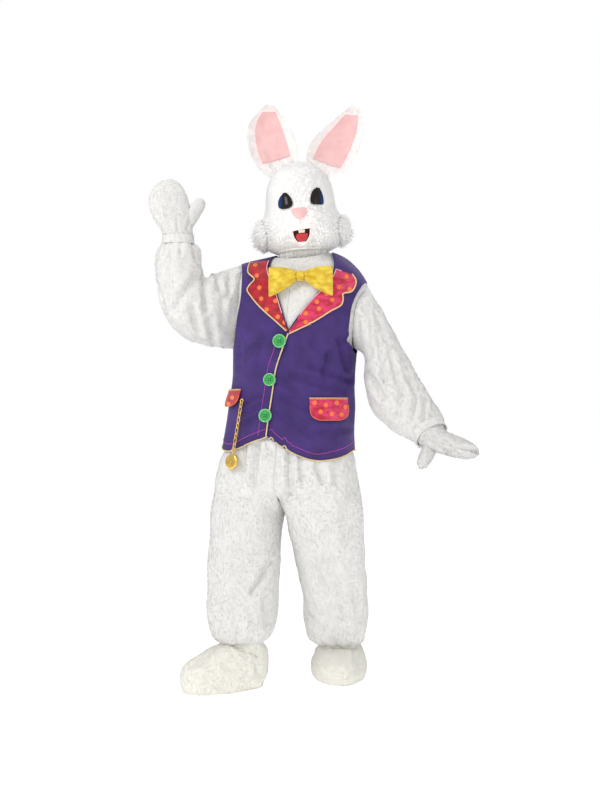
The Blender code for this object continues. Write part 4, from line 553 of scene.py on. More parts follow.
@dataclass(frozen=True)
class ThreadFinish:
    """Twisted thread or metal braid, darker in the twist's grooves and lighter on its ridges as painted
    shade and highlight.
    """

    name: str
    deep: Colour
    light: Colour
    metallic: float = 0.0
    roughness: float = 0.5

    def make(self) -> Material:
        """Return the thread material."""
        book = ShaderBook(self.name, Roughness=self.roughness, Metallic=self.metallic)
        twist = book.bands(0.0009, book.mapped((1.0, 0.5, 1.0)), 0.6)
        patches = book.noise(0.006, 2.0)
        # painted shade and highlight: the colour follows the twist's relief, dark in its grooves and light
        # on its ridges, with random patches mixed in
        colour = book.ramp(book.add(twist, patches, 0.6), ((0.3, self.deep), (1.0, self.light)))
        return book.finish(colour, twist, 0.0002)


@dataclass(frozen=True)
class HardFinish:
    """Moulded plastic or metal with fine scuffs."""

    name: str
    deep: Colour
    light: Colour
    metallic: float = 0.0
    roughness: float = 0.25
    coat: float = 0.0
    glow: float = 0.0

    def make(self) -> Material:
        """Return the plastic or metal material."""
        book = ShaderBook(
            self.name, Roughness=self.roughness, Metallic=self.metallic, Coat_Weight=self.coat
        )
        book.glow(self.glow, PURE_WHITE)
        cloudy = book.noise(0.012, 3.0)
        scuffs = book.noise(0.0012, 4.0, book.mapped((1.0, 1.0, 0.2)))
        colour = book.ramp(cloudy, ((0.3, self.deep), (0.7, self.light)))
        return book.finish(colour, scuffs, 0.00012)


@dataclass(frozen=True)
class EyeFinish:
    """A glossy eye, black brown with a dark blue outer side."""

    name: str
    middle: float
    outer: float

    def make(self) -> Material:
        """Return the eye material."""
        book = ShaderBook(
            self.name, Roughness=0.10, Coat_Weight=0.08, Coat_Roughness=0.05, Specular_IOR_Level=0.15
        )
        split = book.node("ShaderNodeSeparateXYZ")
        book.link(book.place, split.inputs[0])
        spread = book.node("ShaderNodeMapRange")
        spread.inputs["From Min"].default_value = self.middle
        spread.inputs["From Max"].default_value = self.outer
        book.link(split.outputs["X"], spread.inputs["Value"])
        grain = book.noise(0.004, 3.0)
        share = book.add(spread.outputs["Result"], grain, 0.25)
        stops = (
            (0.55, (0.016, 0.012, 0.010)), (0.78, (0.008, 0.018, 0.055)), (1.0, (0.010, 0.045, 0.17))
        )
        return book.finish(book.ramp(share, stops), grain, 0.00008)


class Finish(Protocol):
    """Anything that makes a material."""

    def make(self) -> Material:
        """Return the material."""


def of(finish: Finish) -> Material:
    """Return a dataclass field whose value is made from a finish."""
    return field(default_factory=finish.make)


@dataclass(frozen=True)
class Finishes:
    """Every material of the costume, made once."""

    # The glow values below are painted light: emission that brightens the plush and its tufts.
    white: Material = of(PlushFinish("white_plush", PLUSH_WHITE, PLUSH_SHADE))
    white_tufts: Material = of(
        TuftFinish("white_tufts", (0.91, 0.90, 0.88), (0.97, 0.965, 0.95), glow=0.05)
    )
    face: Material = of(
        PlushFinish("face_plush", (0.90, 0.89, 0.87), PLUSH_WHITE, blush=(0.86, 0.60, 0.58), glow=0.30)
    )
    face_tufts: Material = of(
        TuftFinish("face_tufts", (0.92, 0.91, 0.89), (0.97, 0.965, 0.955), (0.92, 0.66, 0.64), 0.14)
    )
    cream: Material = of(PlushFinish("cream_plush", (0.90, 0.885, 0.80), (0.84, 0.825, 0.74)))
    cream_tufts: Material = of(
        TuftFinish("cream_tufts", (0.93, 0.91, 0.82), (0.98, 0.96, 0.88), glow=0.12)
    )
    pink: Material = of(PlushFinish("pink_plush", (0.84, 0.53, 0.52), (0.76, 0.43, 0.43), 0.0011))
    purple: Material = of(
        KnitFinish("purple_cloth", (0.026, 0.008, 0.098), (0.060, 0.020, 0.200), (0.45, 0.32, 0.85))
    )
    red: Material = of(SatinFinish("red_satin", (0.34, 0.002, 0.012), (0.60, 0.008, 0.035), ORANGE))
    # painted light: a lighter, pinker copy of the red satin for the left lapel and flap, standing in for
    # the stronger light on that side
    lit_red: Material = of(SatinFinish("rose_satin", (0.52, 0.004, 0.030), (0.86, 0.050, 0.17), ORANGE))
    yellow: Material = of(SatinFinish("yellow_satin", (0.70, 0.44, 0.010), (0.94, 0.71, 0.060)))
    gold: Material = of(ThreadFinish("gold_braid", (0.52, 0.33, 0.11), (0.95, 0.80, 0.44), 0.15))
    piping: Material = of(ThreadFinish("pink_piping", (0.85, 0.40, 0.45), (0.97, 0.72, 0.74)))
    magenta: Material = of(ThreadFinish("magenta_thread", (0.42, 0.03, 0.36), (0.70, 0.10, 0.60)))
    seam: Material = of(ThreadFinish("seam_thread", (0.45, 0.43, 0.40), (0.62, 0.60, 0.56)))
    black_thread: Material = of(ThreadFinish("black_rim", (0.006, 0.006, 0.007), (0.02, 0.02, 0.022)))
    green: Material = of(HardFinish("green_plastic", (0.02, 0.30, 0.06), (0.035, 0.40, 0.09), coat=0.4))
    pale_green: Material = of(
        HardFinish("pale_green_rim", (0.16, 0.55, 0.20), (0.25, 0.66, 0.28), coat=0.4)
    )
    brass: Material = of(HardFinish("brass", (0.70, 0.42, 0.09), (0.92, 0.66, 0.20), 1.0, 0.24))
    gilt: Material = of(HardFinish("gilt_thread", (0.80, 0.48, 0.08), (0.95, 0.70, 0.20), 0.6, 0.35))
    mouth: Material = of(PlushFinish("mouth_cloth", (0.045, 0.007, 0.006), (0.020, 0.003, 0.003)))
    tongue: Material = of(PlushFinish("tongue_cloth", (0.62, 0.025, 0.035), (0.48, 0.014, 0.022)))
    teeth: Material = of(PlushFinish("teeth_cloth", (0.86, 0.78, 0.58), (0.74, 0.66, 0.46)))
    lip: Material = of(PlushFinish("lip_cloth", (0.93, 0.82, 0.79), (0.86, 0.70, 0.66)))


@dataclass(frozen=True)
class Spine:
    """The centre line of a hollow part."""

    line: tuple[tuple[float, float, float], ...]

    def outward(self, points: Points) -> Points:
        """Return the unit direction from the line to each point.

        Args:
            points: places as an array of rows.

        Returns:
            Directions as an array of rows.
        """
        line = np.array(self.line)
        best = np.full(len(points), 1e9)
        way = np.zeros_like(points)
        for start, end in zip(line[:-1], line[1:]):
            run = end - start
            share = np.clip(((points - start) @ run) / (run @ run), 0.0, 1.0)
            gap = points - (start + share[:, None] * run)
            far = np.linalg.norm(gap, axis=1)
            near = far < best
            best[near] = far[near]
            way[near] = gap[near]
        return way / np.maximum(np.linalg.norm(way, axis=1), 1e-9)[:, None]


@dataclass(frozen=True)
class Folds:
    """Creases listed for one part of the costume, and softer ones on its hidden side."""

    spine: Spine
    creases: tuple[tuple[float, ...], ...]
    back_share: float = 0.8
    swell: float = 0.0012
    ruffle: Optional[Guide] = None
    strength: float = 1.0

    def depth(self, points: Points, way: Points) -> Points:
        """Return how far each point moves outwards.

        Args:
            points: places as an array of rows.
            way: the outward direction at each place.

        Returns:
            Distances, negative where the cloth sinks in.
        """
        moved = np.zeros(len(points))
        front = np.clip(0.35 - 1.6 * way[:, 1], 0.0, 1.0)
        back = np.clip(0.35 + 1.6 * way[:, 1], 0.0, 1.0) * self.back_share
        for face, shift in ((front, 0.0), (back, -0.022)):
            for x0, z0, x1, z1, depth, width in self.creases:
                start = np.array([x0 - shift * 0.5, z0 + shift])
                run = np.array([x1, z1]) - np.array([x0, z0])
                gap = points[:, (0, 2)] - start
                share = np.clip((gap @ run) / (run @ run), 0.0, 1.0)
                far = np.linalg.norm(gap - share[:, None] * run, axis=1) / width
                moved += face * depth * self.strength * (
                    0.4 * np.exp(-((far - 1.8) ** 2)) - np.exp(-(far**2))
                )
        x, y, z = points.T
        moved += self.swell * (np.sin(31 * x + 17 * z + 2) * np.sin(23 * z - 19 * y + 1))
        moved += 0.6 * self.swell * np.sin(57 * x - 44 * z + 31 * y)
        if self.ruffle:
            moved += self.ruffle(points, way)
        return moved


def gathers(
    height: float, reach: float, waves: float, depth: float, up: float = 1.0
) -> Guide:
    """Return inward waves round a limb, which fade with distance from a gathered edge.

    Args:
        height: the gathered edge's height.
        reach: how far the waves run from it.
        waves: how many there are all round.
        depth: the deepest wave.
        up: 1 where the cloth lies above the edge and -1 where it lies below.

    Returns:
        A function of places and outward directions.
    """

    def wave(points: Points, way: Points) -> Points:
        """Return how far the waves move each point."""
        turn = np.arctan2(way[:, 1], way[:, 0])
        rise = np.clip((points[:, 2] - height) * up / reach, 0.0, 1.0)
        fade = np.where((points[:, 2] - height) * up < -0.02, 0.0, (1 - rise) ** 1.5)
        uneven = 0.7 + 0.3 * np.sin(3 * turn + 1)
        return -depth * fade * uneven * (0.5 + 0.5 * np.cos(waves * turn + 1.5 * np.sin(2 * turn)))

    return wave


def waist_and_hem(hem: float) -> Guide:
    """Return the gathers above a trouser hem, with the suit drawn in under the waistcoat.

    Args:
        hem: the hem's height.

    Returns:
        A function of places and outward directions.
    """
    gathered = gathers(hem, reach=0.12, waves=15, depth=0.013)

    def wave(points: Points, way: Points) -> Points:
        """Return how far the gathers and the waistcoat move each point."""
        height = points[:, 2]
        low = np.clip((height + 0.675) / 0.045, 0.0, 1.0)
        high = np.clip((-0.22 - height) / 0.06, 0.0, 1.0)
        return gathered(points, way) - UNDER_VEST * (low * high)

    return wave


@dataclass
class Cut:
    """The flat size that a piece of cloth was cut to, and its area."""

    width: float
    length: float
    area: float
    held: Held = Held.HUNG


def welded(node: str) -> bmesh.types.BMesh:
    """Return a CAD node's mesh as a welded bmesh of mostly four-sided faces."""
    bm = bmesh.new()
    bm.from_mesh(bpy.data.objects[node].data)
    bmesh.ops.remove_doubles(bm, verts=bm.verts[:], dist=0.00002)
    bmesh.ops.join_triangles(
        bm,
        faces=bm.faces[:],
        angle_face_threshold=math.radians(35),
        angle_shape_threshold=math.radians(50),
    )
    return bm


def in_scene(name: str, data: object) -> Piece:
    """Put an object with the given data in the scene."""
    made = bpy.data.objects.new(name, data)
    bpy.context.scene.collection.objects.link(made)
    return made


def mesh_of(name: str, bm: bmesh.types.BMesh, *finishes: Material) -> bpy.types.Mesh:
    """Turn a bmesh into a mesh with its materials, and free it."""
    mesh = bpy.data.meshes.new(name)
    bm.to_mesh(mesh)
    bm.free()
    mesh.materials.clear()
    for finish in finishes:
        mesh.materials.append(finish)
    return mesh


def evaluated(source: Piece) -> bpy.types.Mesh:
    """Return a new mesh of an object as its modifiers or its bevel make it."""
    bpy.context.view_layer.update()
    graph = bpy.context.evaluated_depsgraph_get()
    return bpy.data.meshes.new_from_object(source.evaluated_get(graph))


def link_piece(name: str, mesh: bpy.types.Mesh, body: str) -> Piece:
    """Put a finished mesh in the scene as a piece that rides on a body."""
    made = in_scene(name, mesh)
    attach(made, body)
    return made


def baked(made: Piece) -> Piece:
    """Apply an object's modifiers to its mesh."""
    mesh = evaluated(made)
    made.modifiers.clear()
    old = made.data
    made.data = mesh
    mesh.name = made.name
    if isinstance(old, bpy.types.Mesh):
        bpy.data.meshes.remove(old)
    return made


def coordinates(mesh: bpy.types.Mesh) -> Points:
    """Return a mesh's vertices as an array of rows."""
    co = np.zeros(len(mesh.vertices) * 3)
    mesh.vertices.foreach_get("co", co)
    return co.reshape(-1, 3)


def reshape(mesh: bpy.types.Mesh, points: Points) -> None:
    """Move a mesh's vertices to new places."""
    mesh.vertices.foreach_set("co", points.ravel())


def store(mesh: bpy.types.Mesh, name: str, values: Points) -> None:
    """Store a number for each of a mesh's points."""
    mesh.attributes.new(name, "FLOAT", "POINT").data.foreach_set("value", values)


def relax(mesh: bpy.types.Mesh, rounds: int) -> None:
    """Even out a divided skin, except at its sharp edges and close to them.

    Args:
        mesh: the skin.
        rounds: how often each point moves half way to its neighbours' middle.
    """
    bm = bmesh.new()
    bm.from_mesh(mesh)
    held = np.zeros(len(bm.verts), dtype=bool)
    for edge in bm.edges:
        if edge.calc_face_angle(0.0) > SHARP * 0.6:
            held[[v.index for v in edge.verts]] = True
    bm.free()
    ends = np.zeros(len(mesh.edges) * 2, dtype=int)
    mesh.edges.foreach_get("vertices", ends)
    first, second = ends.reshape(-1, 2).T
    ring = np.where(held, 0.0, 5.0)
    for _ in range(5):
        np.minimum.at(ring, first, ring[second] + 1)
        np.minimum.at(ring, second, ring[first] + 1)
    share = 0.5 * np.clip(ring / 4, 0.0, 1.0)[:, None]
    size = len(mesh.vertices)
    degree = np.maximum(np.bincount(first, minlength=size) + np.bincount(second, minlength=size), 1)
    points = coordinates(mesh)
    for _ in range(rounds):
        total = np.stack(
            [
                np.bincount(first, points[second, k], size) + np.bincount(second, points[first, k], size)
                for k in range(3)
            ],
            axis=1,
        )
        points += share * (total / degree[:, None] - points)
    reshape(mesh, points)


def skin(
    node: str,
    name: str,
    finish: Material,
    levels: int = 2,
    spine: Optional[Spine] = None,
    folds: Optional[Folds] = None,
    sink: Optional[Measure] = None,
    body: str = COSTUME,
    ease: int = 0,
) -> Piece:
    """Make the cloth that stands for one solid: smoothed, with its folds.

    Args:
        node: the CAD node it stands for.
        name: the piece's own name.
        finish: its material.
        levels: how often the skin is divided.
        spine: the centre line that its folds move away from.
        folds: its creases.
        sink: how far places sink below the solid to leave room for plush.
        body: the body it rides on.
        ease: how many rounds of evening out the divided skin gets.

    Returns:
        The new piece.
    """
    bm = welded(node)
    crease = bm.edges.layers.float.get("crease_edge") or bm.edges.layers.float.new("crease_edge")
    for edge in bm.edges:
        edge[crease] = 1.0 if edge.calc_face_angle(0.0) > SHARP else 0.0
    made = link_piece(name, mesh_of(name, bm, finish), body)
    smooth = made.modifiers.new("smooth", "SUBSURF")
    smooth.levels = smooth.render_levels = levels
    baked(made)
    if ease:
        relax(made.data, ease)
    if folds or sink:
        points = coordinates(made.data)
        way = (folds.spine if folds else spine).outward(points)
        moved = folds.depth(points, way) if folds else np.zeros(len(points))
        if sink:
            moved = moved - sink(points)
        reshape(made.data, points + way * moved[:, None])
    made.data.shade_smooth()
    made.data.set_sharp_from_angle(angle=math.radians(50))
    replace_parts(made, node)
    LOG.info("piece %s: %d faces", name, len(made.data.polygons))
    return made


class Surface:
    """A piece's shape, for laying trim and stitches on it."""

    def __init__(self, *pieces: Piece) -> None:
        """Read the pieces' meshes."""
        bm = bmesh.new()
        for piece in pieces:
            bm.from_mesh(piece.data)
        self.tree = BVHTree.FromBMesh(bm)
        bm.free()

    def near(self, point: Sequence[float], lift: float = 0.0) -> tuple[Vector, Vector]:
        """Return the nearest place on the surface, moved out, and its normal."""
        place, normal, _, _ = self.tree.find_nearest(Vector(point))
        return place + normal * lift, normal

    def from_front(self, x: float, z: float, lift: float = 0.0) -> tuple[Vector, Vector]:
        """Return the place seen from the front at x and z, and its normal."""
        place, normal, _, _ = self.tree.ray_cast(Vector((x, -2.0, z)), Vector((0, 1, 0)))
        if place is None:
            return self.near((x, -0.15, z), lift)
        return place + normal * lift, normal

    def covers(self, place: Vector, normal: Vector, away: Vector, reach: float) -> bool:
        """Say whether the surface lies over a place, along its normal or away from the middle."""
        start = place - away * 0.002
        return any(self.tree.ray_cast(start, way, reach)[0] is not None for way in (normal, away))


def smooth_path(points: Sequence[Sequence[float]], step: float, closed: bool = False) -> list[Vector]:
    """Return even steps along a rounded curve through points."""
    keys = [Vector(p) for p in points]
    if closed:
        keys = [keys[-1], *keys, keys[0], keys[1]]
    else:
        keys = [keys[0] * 2 - keys[1], *keys, keys[-1] * 2 - keys[-2]]
    dense: list[Vector] = []
    for a, b, c, d in zip(keys, keys[1:], keys[2:], keys[3:]):
        for k in range(12):
            t = k / 12
            square = (2 * a - 5 * b + 4 * c - d) * t * t
            dense.append(0.5 * (2 * b + (c - a) * t + square + (3 * b - a - 3 * c + d) * t**3))
    dense.append(keys[-2].copy())
    reach = np.concatenate([[0], np.cumsum([(q - p).length for p, q in zip(dense, dense[1:])])])
    count = max(2, round(reach[-1] / step) + 1)
    at = np.linspace(0, reach[-1], count)
    flat = np.array([tuple(p) for p in dense])
    return [Vector(row) for row in np.stack([np.interp(at, reach, flat[:, k]) for k in range(3)], axis=1)]


def rope(
    name: str,
    paths: Sequence[Sequence[Vector]],
    radius: float,
    finish: Material,
    closed: bool = False,
    body: str = COSTUME,
) -> Piece:
    """Make round strands along paths, as one closed mesh piece.

    Args:
        name: the piece's name.
        paths: one path for each strand.
        radius: the strands' radius.
        finish: their material.
        closed: whether the strands join up at their ends.
        body: the body they ride on.

    Returns:
        The new piece.
    """
    curve = bpy.data.curves.new(name, "CURVE")
    curve.dimensions = "3D"
    curve.bevel_depth = radius
    curve.bevel_resolution = 1
    curve.use_fill_caps = True
    for path in paths:
        spline = curve.splines.new("POLY")
        spline.points.add(len(path) - 1)
        for point, place in zip(spline.points, path):
            point.co = (*place, 1.0)
        spline.use_cyclic_u = closed
        spline.use_smooth = True
    source = in_scene(name + "_line", curve)
    mesh = evaluated(source)
    bpy.data.objects.remove(source)
    bm = bmesh.new()
    bm.from_mesh(mesh)
    bmesh.ops.remove_doubles(bm, verts=bm.verts[:], dist=1e-6)
    bmesh.ops.recalc_face_normals(bm, faces=bm.faces[:])
    bm.to_mesh(mesh)
    bm.free()
    mesh.materials.clear()
    mesh.materials.append(finish)
    mesh.shade_smooth()
    return link_piece(name, mesh, body)


def twisted(path: Sequence[Vector], spread: float, pitch: float, strands: int = 2) -> list[list[Vector]]:
    """Return strands that wind round a path, as a braid's cords do."""
    made: list[list[Vector]] = []
    reach = 0.0
    turns = [0.0]
    for start, end in zip(path, path[1:]):
        reach += (end - start).length
        turns.append(2 * math.pi * reach / pitch)
    for number in range(strands):
        strand = []
        for k, place in enumerate(path):
            along = (path[min(k + 1, len(path) - 1)] - path[max(k - 1, 0)]).normalized()
            first = along.cross(Vector((0.13, -1.0, 0.21))).normalized()
            second = along.cross(first)
            turn = turns[k] + 2 * math.pi * number / strands
            strand.append(place + spread * (math.cos(turn) * first + math.sin(turn) * second))
        made.append(strand)
    return made


def stitches(path: Sequence[Vector], length: float, gap: float) -> list[list[Vector]]:
    """Cut a fine path into stitches with gaps between them."""
    made: list[list[Vector]] = []
    step = (path[1] - path[0]).length
    run = max(2, round(length / step))
    pause = max(1, round(gap / step))
    for start in range(0, len(path) - run, run + pause):
        made.append(list(path[start : start + run + 1]))
    return made


def rim(node: str, spine: Spine) -> list[Vector]:
    """Return the outer edge of a thin-walled node as an ordered closed line.

    Args:
        node: the CAD node's name.
        spine: the centre line that its outer face looks away from.

    Returns:
        The edge's corners in order.
    """
    bm = welded(node)
    bm.normal_update()
    middles = np.array([tuple(f.calc_center_median()) for f in bm.faces])
    ways = spine.outward(middles)
    outer = [float(np.dot(w, f.normal)) > 0.3 for w, f in zip(ways, bm.faces)]
    links: dict[int, list[int]] = {}
    for edge in bm.edges:
        faces = edge.link_faces
        if len(faces) != 2 or edge.calc_face_angle(0.0) < SHARP:
            continue
        if outer[faces[0].index] == outer[faces[1].index]:
            continue
        a, b = edge.verts
        links.setdefault(a.index, []).append(b.index)
        links.setdefault(b.index, []).append(a.index)
    places = [v.co.copy() for v in bm.verts]
    bm.free()
    best: list[int] = []
    left = set(links)
    while left:
        chain = [left.pop()]
        for _ in range(2):
            chain.reverse()
            while onward := [n for n in links[chain[-1]] if n in left]:
                left.discard(onward[0])
                chain.append(onward[0])
        if len(chain) > len(best):
            best = chain
    return [places[k] for k in best]


def ring_chain(node: str, reach: float = 0.0075) -> list[Vector]:
    """Return the middles of a thin strip's cross sections, from its highest end down."""
    bm = welded(node)
    left = [v.co.copy() for v in bm.verts]
    bm.free()
    middles: list[Vector] = []
    while left:
        seed = left[0]
        group = [p for p in left if (p - seed).length < reach]
        left = [p for p in left if (p - seed).length >= reach]
        middles.append(sum(group, Vector()) / len(group))
    chain = [max(middles, key=lambda p: p.z)]
    middles.remove(chain[0])
    while middles:
        nearest = min(middles, key=lambda p: (p - chain[-1]).length)
        middles.remove(nearest)
        chain.append(nearest)
    return chain


class Plush:
    """Plants plush tufts on the outer side of a piece."""

    def __init__(self, finish: Material, slot: Slot, width: float) -> None:
        """Make the tuft that is planted.

        Args:
            finish: the fibre's material.
            slot: the pieces' material slot; stored but not used.
            width: a tuft's width at its root, for a tuft of length one.
        """
        self.slot = slot
        self.width = width
        bm = bmesh.new()
        bmesh.ops.create_cone(
            bm, cap_ends=True, segments=3, radius1=1.0, radius2=0.0, depth=1.0
        )
        bmesh.ops.translate(bm, verts=bm.verts[:], vec=(0, 0, 0.5))
        mesh = mesh_of("tuft", bm, finish)
        store(mesh, "along", [v.co.z for v in mesh.vertices])
        mesh.shade_smooth()
        self.tuft = in_scene("tuft_" + finish.name, mesh)
        self.tuft.hide_render = True
        self.tree = self._planter()

    def _planter(self) -> bpy.types.NodeTree:
        """Return the node group that sets a tuft on every root."""
        tree = bpy.data.node_groups.new("plant_tufts", "GeometryNodeTree")
        tree.interface.new_socket("Roots", in_out="INPUT", socket_type="NodeSocketGeometry")
        tree.interface.new_socket("Tufts", in_out="OUTPUT", socket_type="NodeSocketGeometry")
        start = tree.nodes.new("NodeGroupInput")
        end = tree.nodes.new("NodeGroupOutput")
        shape = tree.nodes.new("GeometryNodeObjectInfo")
        shape.inputs["Object"].default_value = self.tuft
        plant = tree.nodes.new("GeometryNodeInstanceOnPoints")
        real = tree.nodes.new("GeometryNodeRealizeInstances")
        for label, kind, socket in (
            ("turn", "QUATERNION", "Rotation"),
            ("size", "FLOAT_VECTOR", "Scale"),
        ):
            read = tree.nodes.new("GeometryNodeInputNamedAttribute")
            read.data_type = kind
            read.inputs["Name"].default_value = label
            tree.links.new(read.outputs["Attribute"], plant.inputs[socket])
        tree.links.new(start.outputs["Roots"], plant.inputs["Points"])
        tree.links.new(shape.outputs["Geometry"], plant.inputs["Instance"])
        tree.links.new(plant.outputs["Instances"], real.inputs["Geometry"])
        tree.links.new(real.outputs["Geometry"], end.inputs["Tufts"])
        return tree

    def plant(
        self,
        name: str,
        ground: Sequence[Piece],
        count: int,
        spine: Spine,
        length: Measure,
        comb: Guide,
        lay: float,
        seed: int,
        cover: Optional[Surface] = None,
        blush: Optional[Measure] = None,
    ) -> Piece:
        """Plant tufts on the outer faces of pieces.

        Args:
            name: the new piece's name.
            ground: the pieces that carry the tufts.
            count: how many tufts there are before covered ones are left out.
            spine: the centre line that the outer faces look away from.
            length: gives a tuft's length at a place, 0 for none.
            comb: gives the direction in which tufts lie at a place.
            lay: how far tufts lean, from 0, upright, to 1, flat.
            seed: the random seed.
            cover: a surface under which no tufts are planted.
            blush: gives the share of the blush colour at a place.

        Returns:
            The tufts as one piece.
        """
        rng = np.random.default_rng(seed)
        place, normal = self._scatter(ground, spine, count, rng)
        size = length(place)
        keep = size > SHORTEST_TUFT
        away = spine.outward(place)
        if cover:
            for k in np.flatnonzero(keep):
                spot = (Vector(row[k]) for row in (place, normal, away))
                keep[k] = not cover.covers(*spot, COVER_REACH)
        place, normal, size = place[keep], normal[keep], size[keep]
        flow = comb(place, normal)
        flow = flow - normal * (flow * normal).sum(1)[:, None]
        flow /= np.maximum(np.linalg.norm(flow, axis=1), 1e-6)[:, None]
        lean = lay * (0.85 + 0.3 * rng.random(len(place)))[:, None]
        axis = normal * (1 - lean) + flow * lean + rng.normal(0, TUFT_DISORDER, place.shape)
        axis /= np.linalg.norm(axis, axis=1)[:, None]
        size = size * rng.uniform(0.75, 1.15, len(place))
        turn = np.stack(
            [1 + axis[:, 2], -axis[:, 1], axis[:, 0], np.zeros(len(axis))], axis=1
        )
        turn /= np.maximum(np.linalg.norm(turn, axis=1), 1e-6)[:, None]
        mesh = bpy.data.meshes.new(name)
        mesh.vertices.add(len(place))
        reshape(mesh, place - normal * ROOT_DEPTH)
        mesh.attributes.new("turn", "QUATERNION", "POINT").data.foreach_set("value", turn.ravel())
        wide = np.stack([size**0.5 * self.width, size**0.5 * self.width, size], axis=1)
        mesh.attributes.new("size", "FLOAT_VECTOR", "POINT").data.foreach_set("vector", wide.ravel())
        ground_way = mesh.attributes.new("ground", "FLOAT_VECTOR", "POINT")
        ground_way.data.foreach_set("vector", normal.ravel())
        if blush:
            store(mesh, "blush", blush(place))
        made = link_piece(name, mesh, COSTUME)
        modifier = made.modifiers.new("plant", "NODES")
        modifier.node_group = self.tree
        baked(made)
        LOG.info("plush %s: %d tufts", name, len(place))
        return made

    def _scatter(
        self, ground: Sequence[Piece], spine: Spine, count: int, rng: np.random.Generator
    ) -> tuple[Points, Points]:
        """Choose places evenly over the outer side, and return them with their normals."""
        corners, normals = self._outer_triangles(ground, spine)
        area = np.linalg.norm(
            np.cross(corners[:, 1] - corners[:, 0], corners[:, 2] - corners[:, 0]), axis=1
        )
        chosen = rng.choice(len(corners), size=count, p=area / area.sum())
        u, v = rng.random(count), rng.random(count)
        over = u + v > 1
        u[over], v[over] = 1 - u[over], 1 - v[over]
        corner = corners[chosen]
        place = corner[:, 0] + u[:, None] * (corner[:, 1] - corner[:, 0])
        place += v[:, None] * (corner[:, 2] - corner[:, 0])
        return place, normals[chosen]

    @staticmethod
    def _outer_triangles(ground: Sequence[Piece], spine: Spine) -> tuple[Points, Points]:
        """Return the corners and normals of the triangles on the outer side."""
        found, ways = [], []
        for piece in ground:
            mesh = piece.data
            mesh.calc_loop_triangles()
            index = np.zeros(len(mesh.loop_triangles) * 3, dtype=int)
            mesh.loop_triangles.foreach_get("vertices", index)
            corner = coordinates(mesh)[index].reshape(-1, 3, 3)
            normal = np.cross(corner[:, 1] - corner[:, 0], corner[:, 2] - corner[:, 0])
            normal /= np.maximum(np.linalg.norm(normal, axis=1), 1e-12)[:, None]
            outer = (spine.outward(corner.mean(1)) * normal).sum(1) > 0.25
            found.append(corner[outer])
            ways.append(normal[outer])
        return np.concatenate(found), np.concatenate(ways)

    def done(self) -> None:
        """Take away the single tuft that was copied."""
        bpy.data.objects.remove(self.tuft)
        bpy.data.node_groups.remove(self.tree)


def toward(*way: float) -> Guide:
    """Return a comb that lays all tufts one way."""
    return lambda points, normals: np.tile(way, (len(points), 1))


def even(length: float) -> Measure:
    """Return a length that is the same all over."""
    return lambda points: np.full(len(points), length)


DOWNWARD = toward(0.0, 0.0, -1.0)


@dataclass
class Suit:
    """The one-piece plush suit: body panels, sleeves and cuffs."""

    finishes: Finishes
    nap_length: float = 0.0062
    body_tufts: int = 26000
    sleeve_tufts: int = 12000
    pieces: dict[str, Piece] = field(default_factory=dict)

    def build(self) -> None:
        """Make the panels, sleeves and cuffs with their folds."""
        white = self.finishes.white
        for hand, line in LEG_LINES.items():
            ruffle = waist_and_hem(hem=line[0][2])
            folds = Folds(self.body_spine(hand), LEG_CREASES, ruffle=ruffle, swell=0.0018, strength=1.4)
            for face in FACES:
                node = f"suit_{face}_{hand}"
                made = skin(node, f"{node}_plush", white, 3, folds=folds, ease=40)
                self.pieces[node] = made
        for hand, area in (("right", 0.138), ("left", 0.136)):
            folds = Folds(Spine(SLEEVE_LINES[hand]), SLEEVE_CREASES[hand], swell=0.0018, strength=1.3)
            for face in FACES:
                node = f"sleeve_{hand}_{face}"
                made = skin(node, f"{node}_plush", white, 3, folds=folds, ease=30)
                self.pieces[node] = made
            node = f"cuff_{hand}"
            made = skin(node, f"{node}_plush", white, 2)
            self.pieces[node] = made

    @staticmethod
    def body_spine(hand: str) -> Spine:
        """Return the centre line of one half of the suit, from ankle to neck."""
        return Spine((*LEG_LINES[hand], *TORSO_LINE[1:]))

    def plant(self, plush: Plush, vest: Surface) -> None:
        """Plant the nap on what shows of the suit."""
        nap = even(self.nap_length)
        for seed, hand in enumerate(HANDS, 3):
            ground = [self.pieces[f"suit_{face}_{hand}"] for face in FACES]
            plush.plant(
                f"suit_{hand}_nap", ground, self.body_tufts, self.body_spine(hand), nap,
                DOWNWARD, 0.78, seed, vest,
            )
        for seed, (hand, way) in enumerate(zip(HANDS, (1.0, -1.0)), 7):
            names = (f"sleeve_{hand}_front", f"sleeve_{hand}_back", f"cuff_{hand}")
            plush.plant(
                f"sleeve_{hand}_nap", [self.pieces[n] for n in names], self.sleeve_tufts,
                Spine(SLEEVE_LINES[hand]), nap, toward(-0.3, 0.0, way), 0.78, seed, vest,
            )


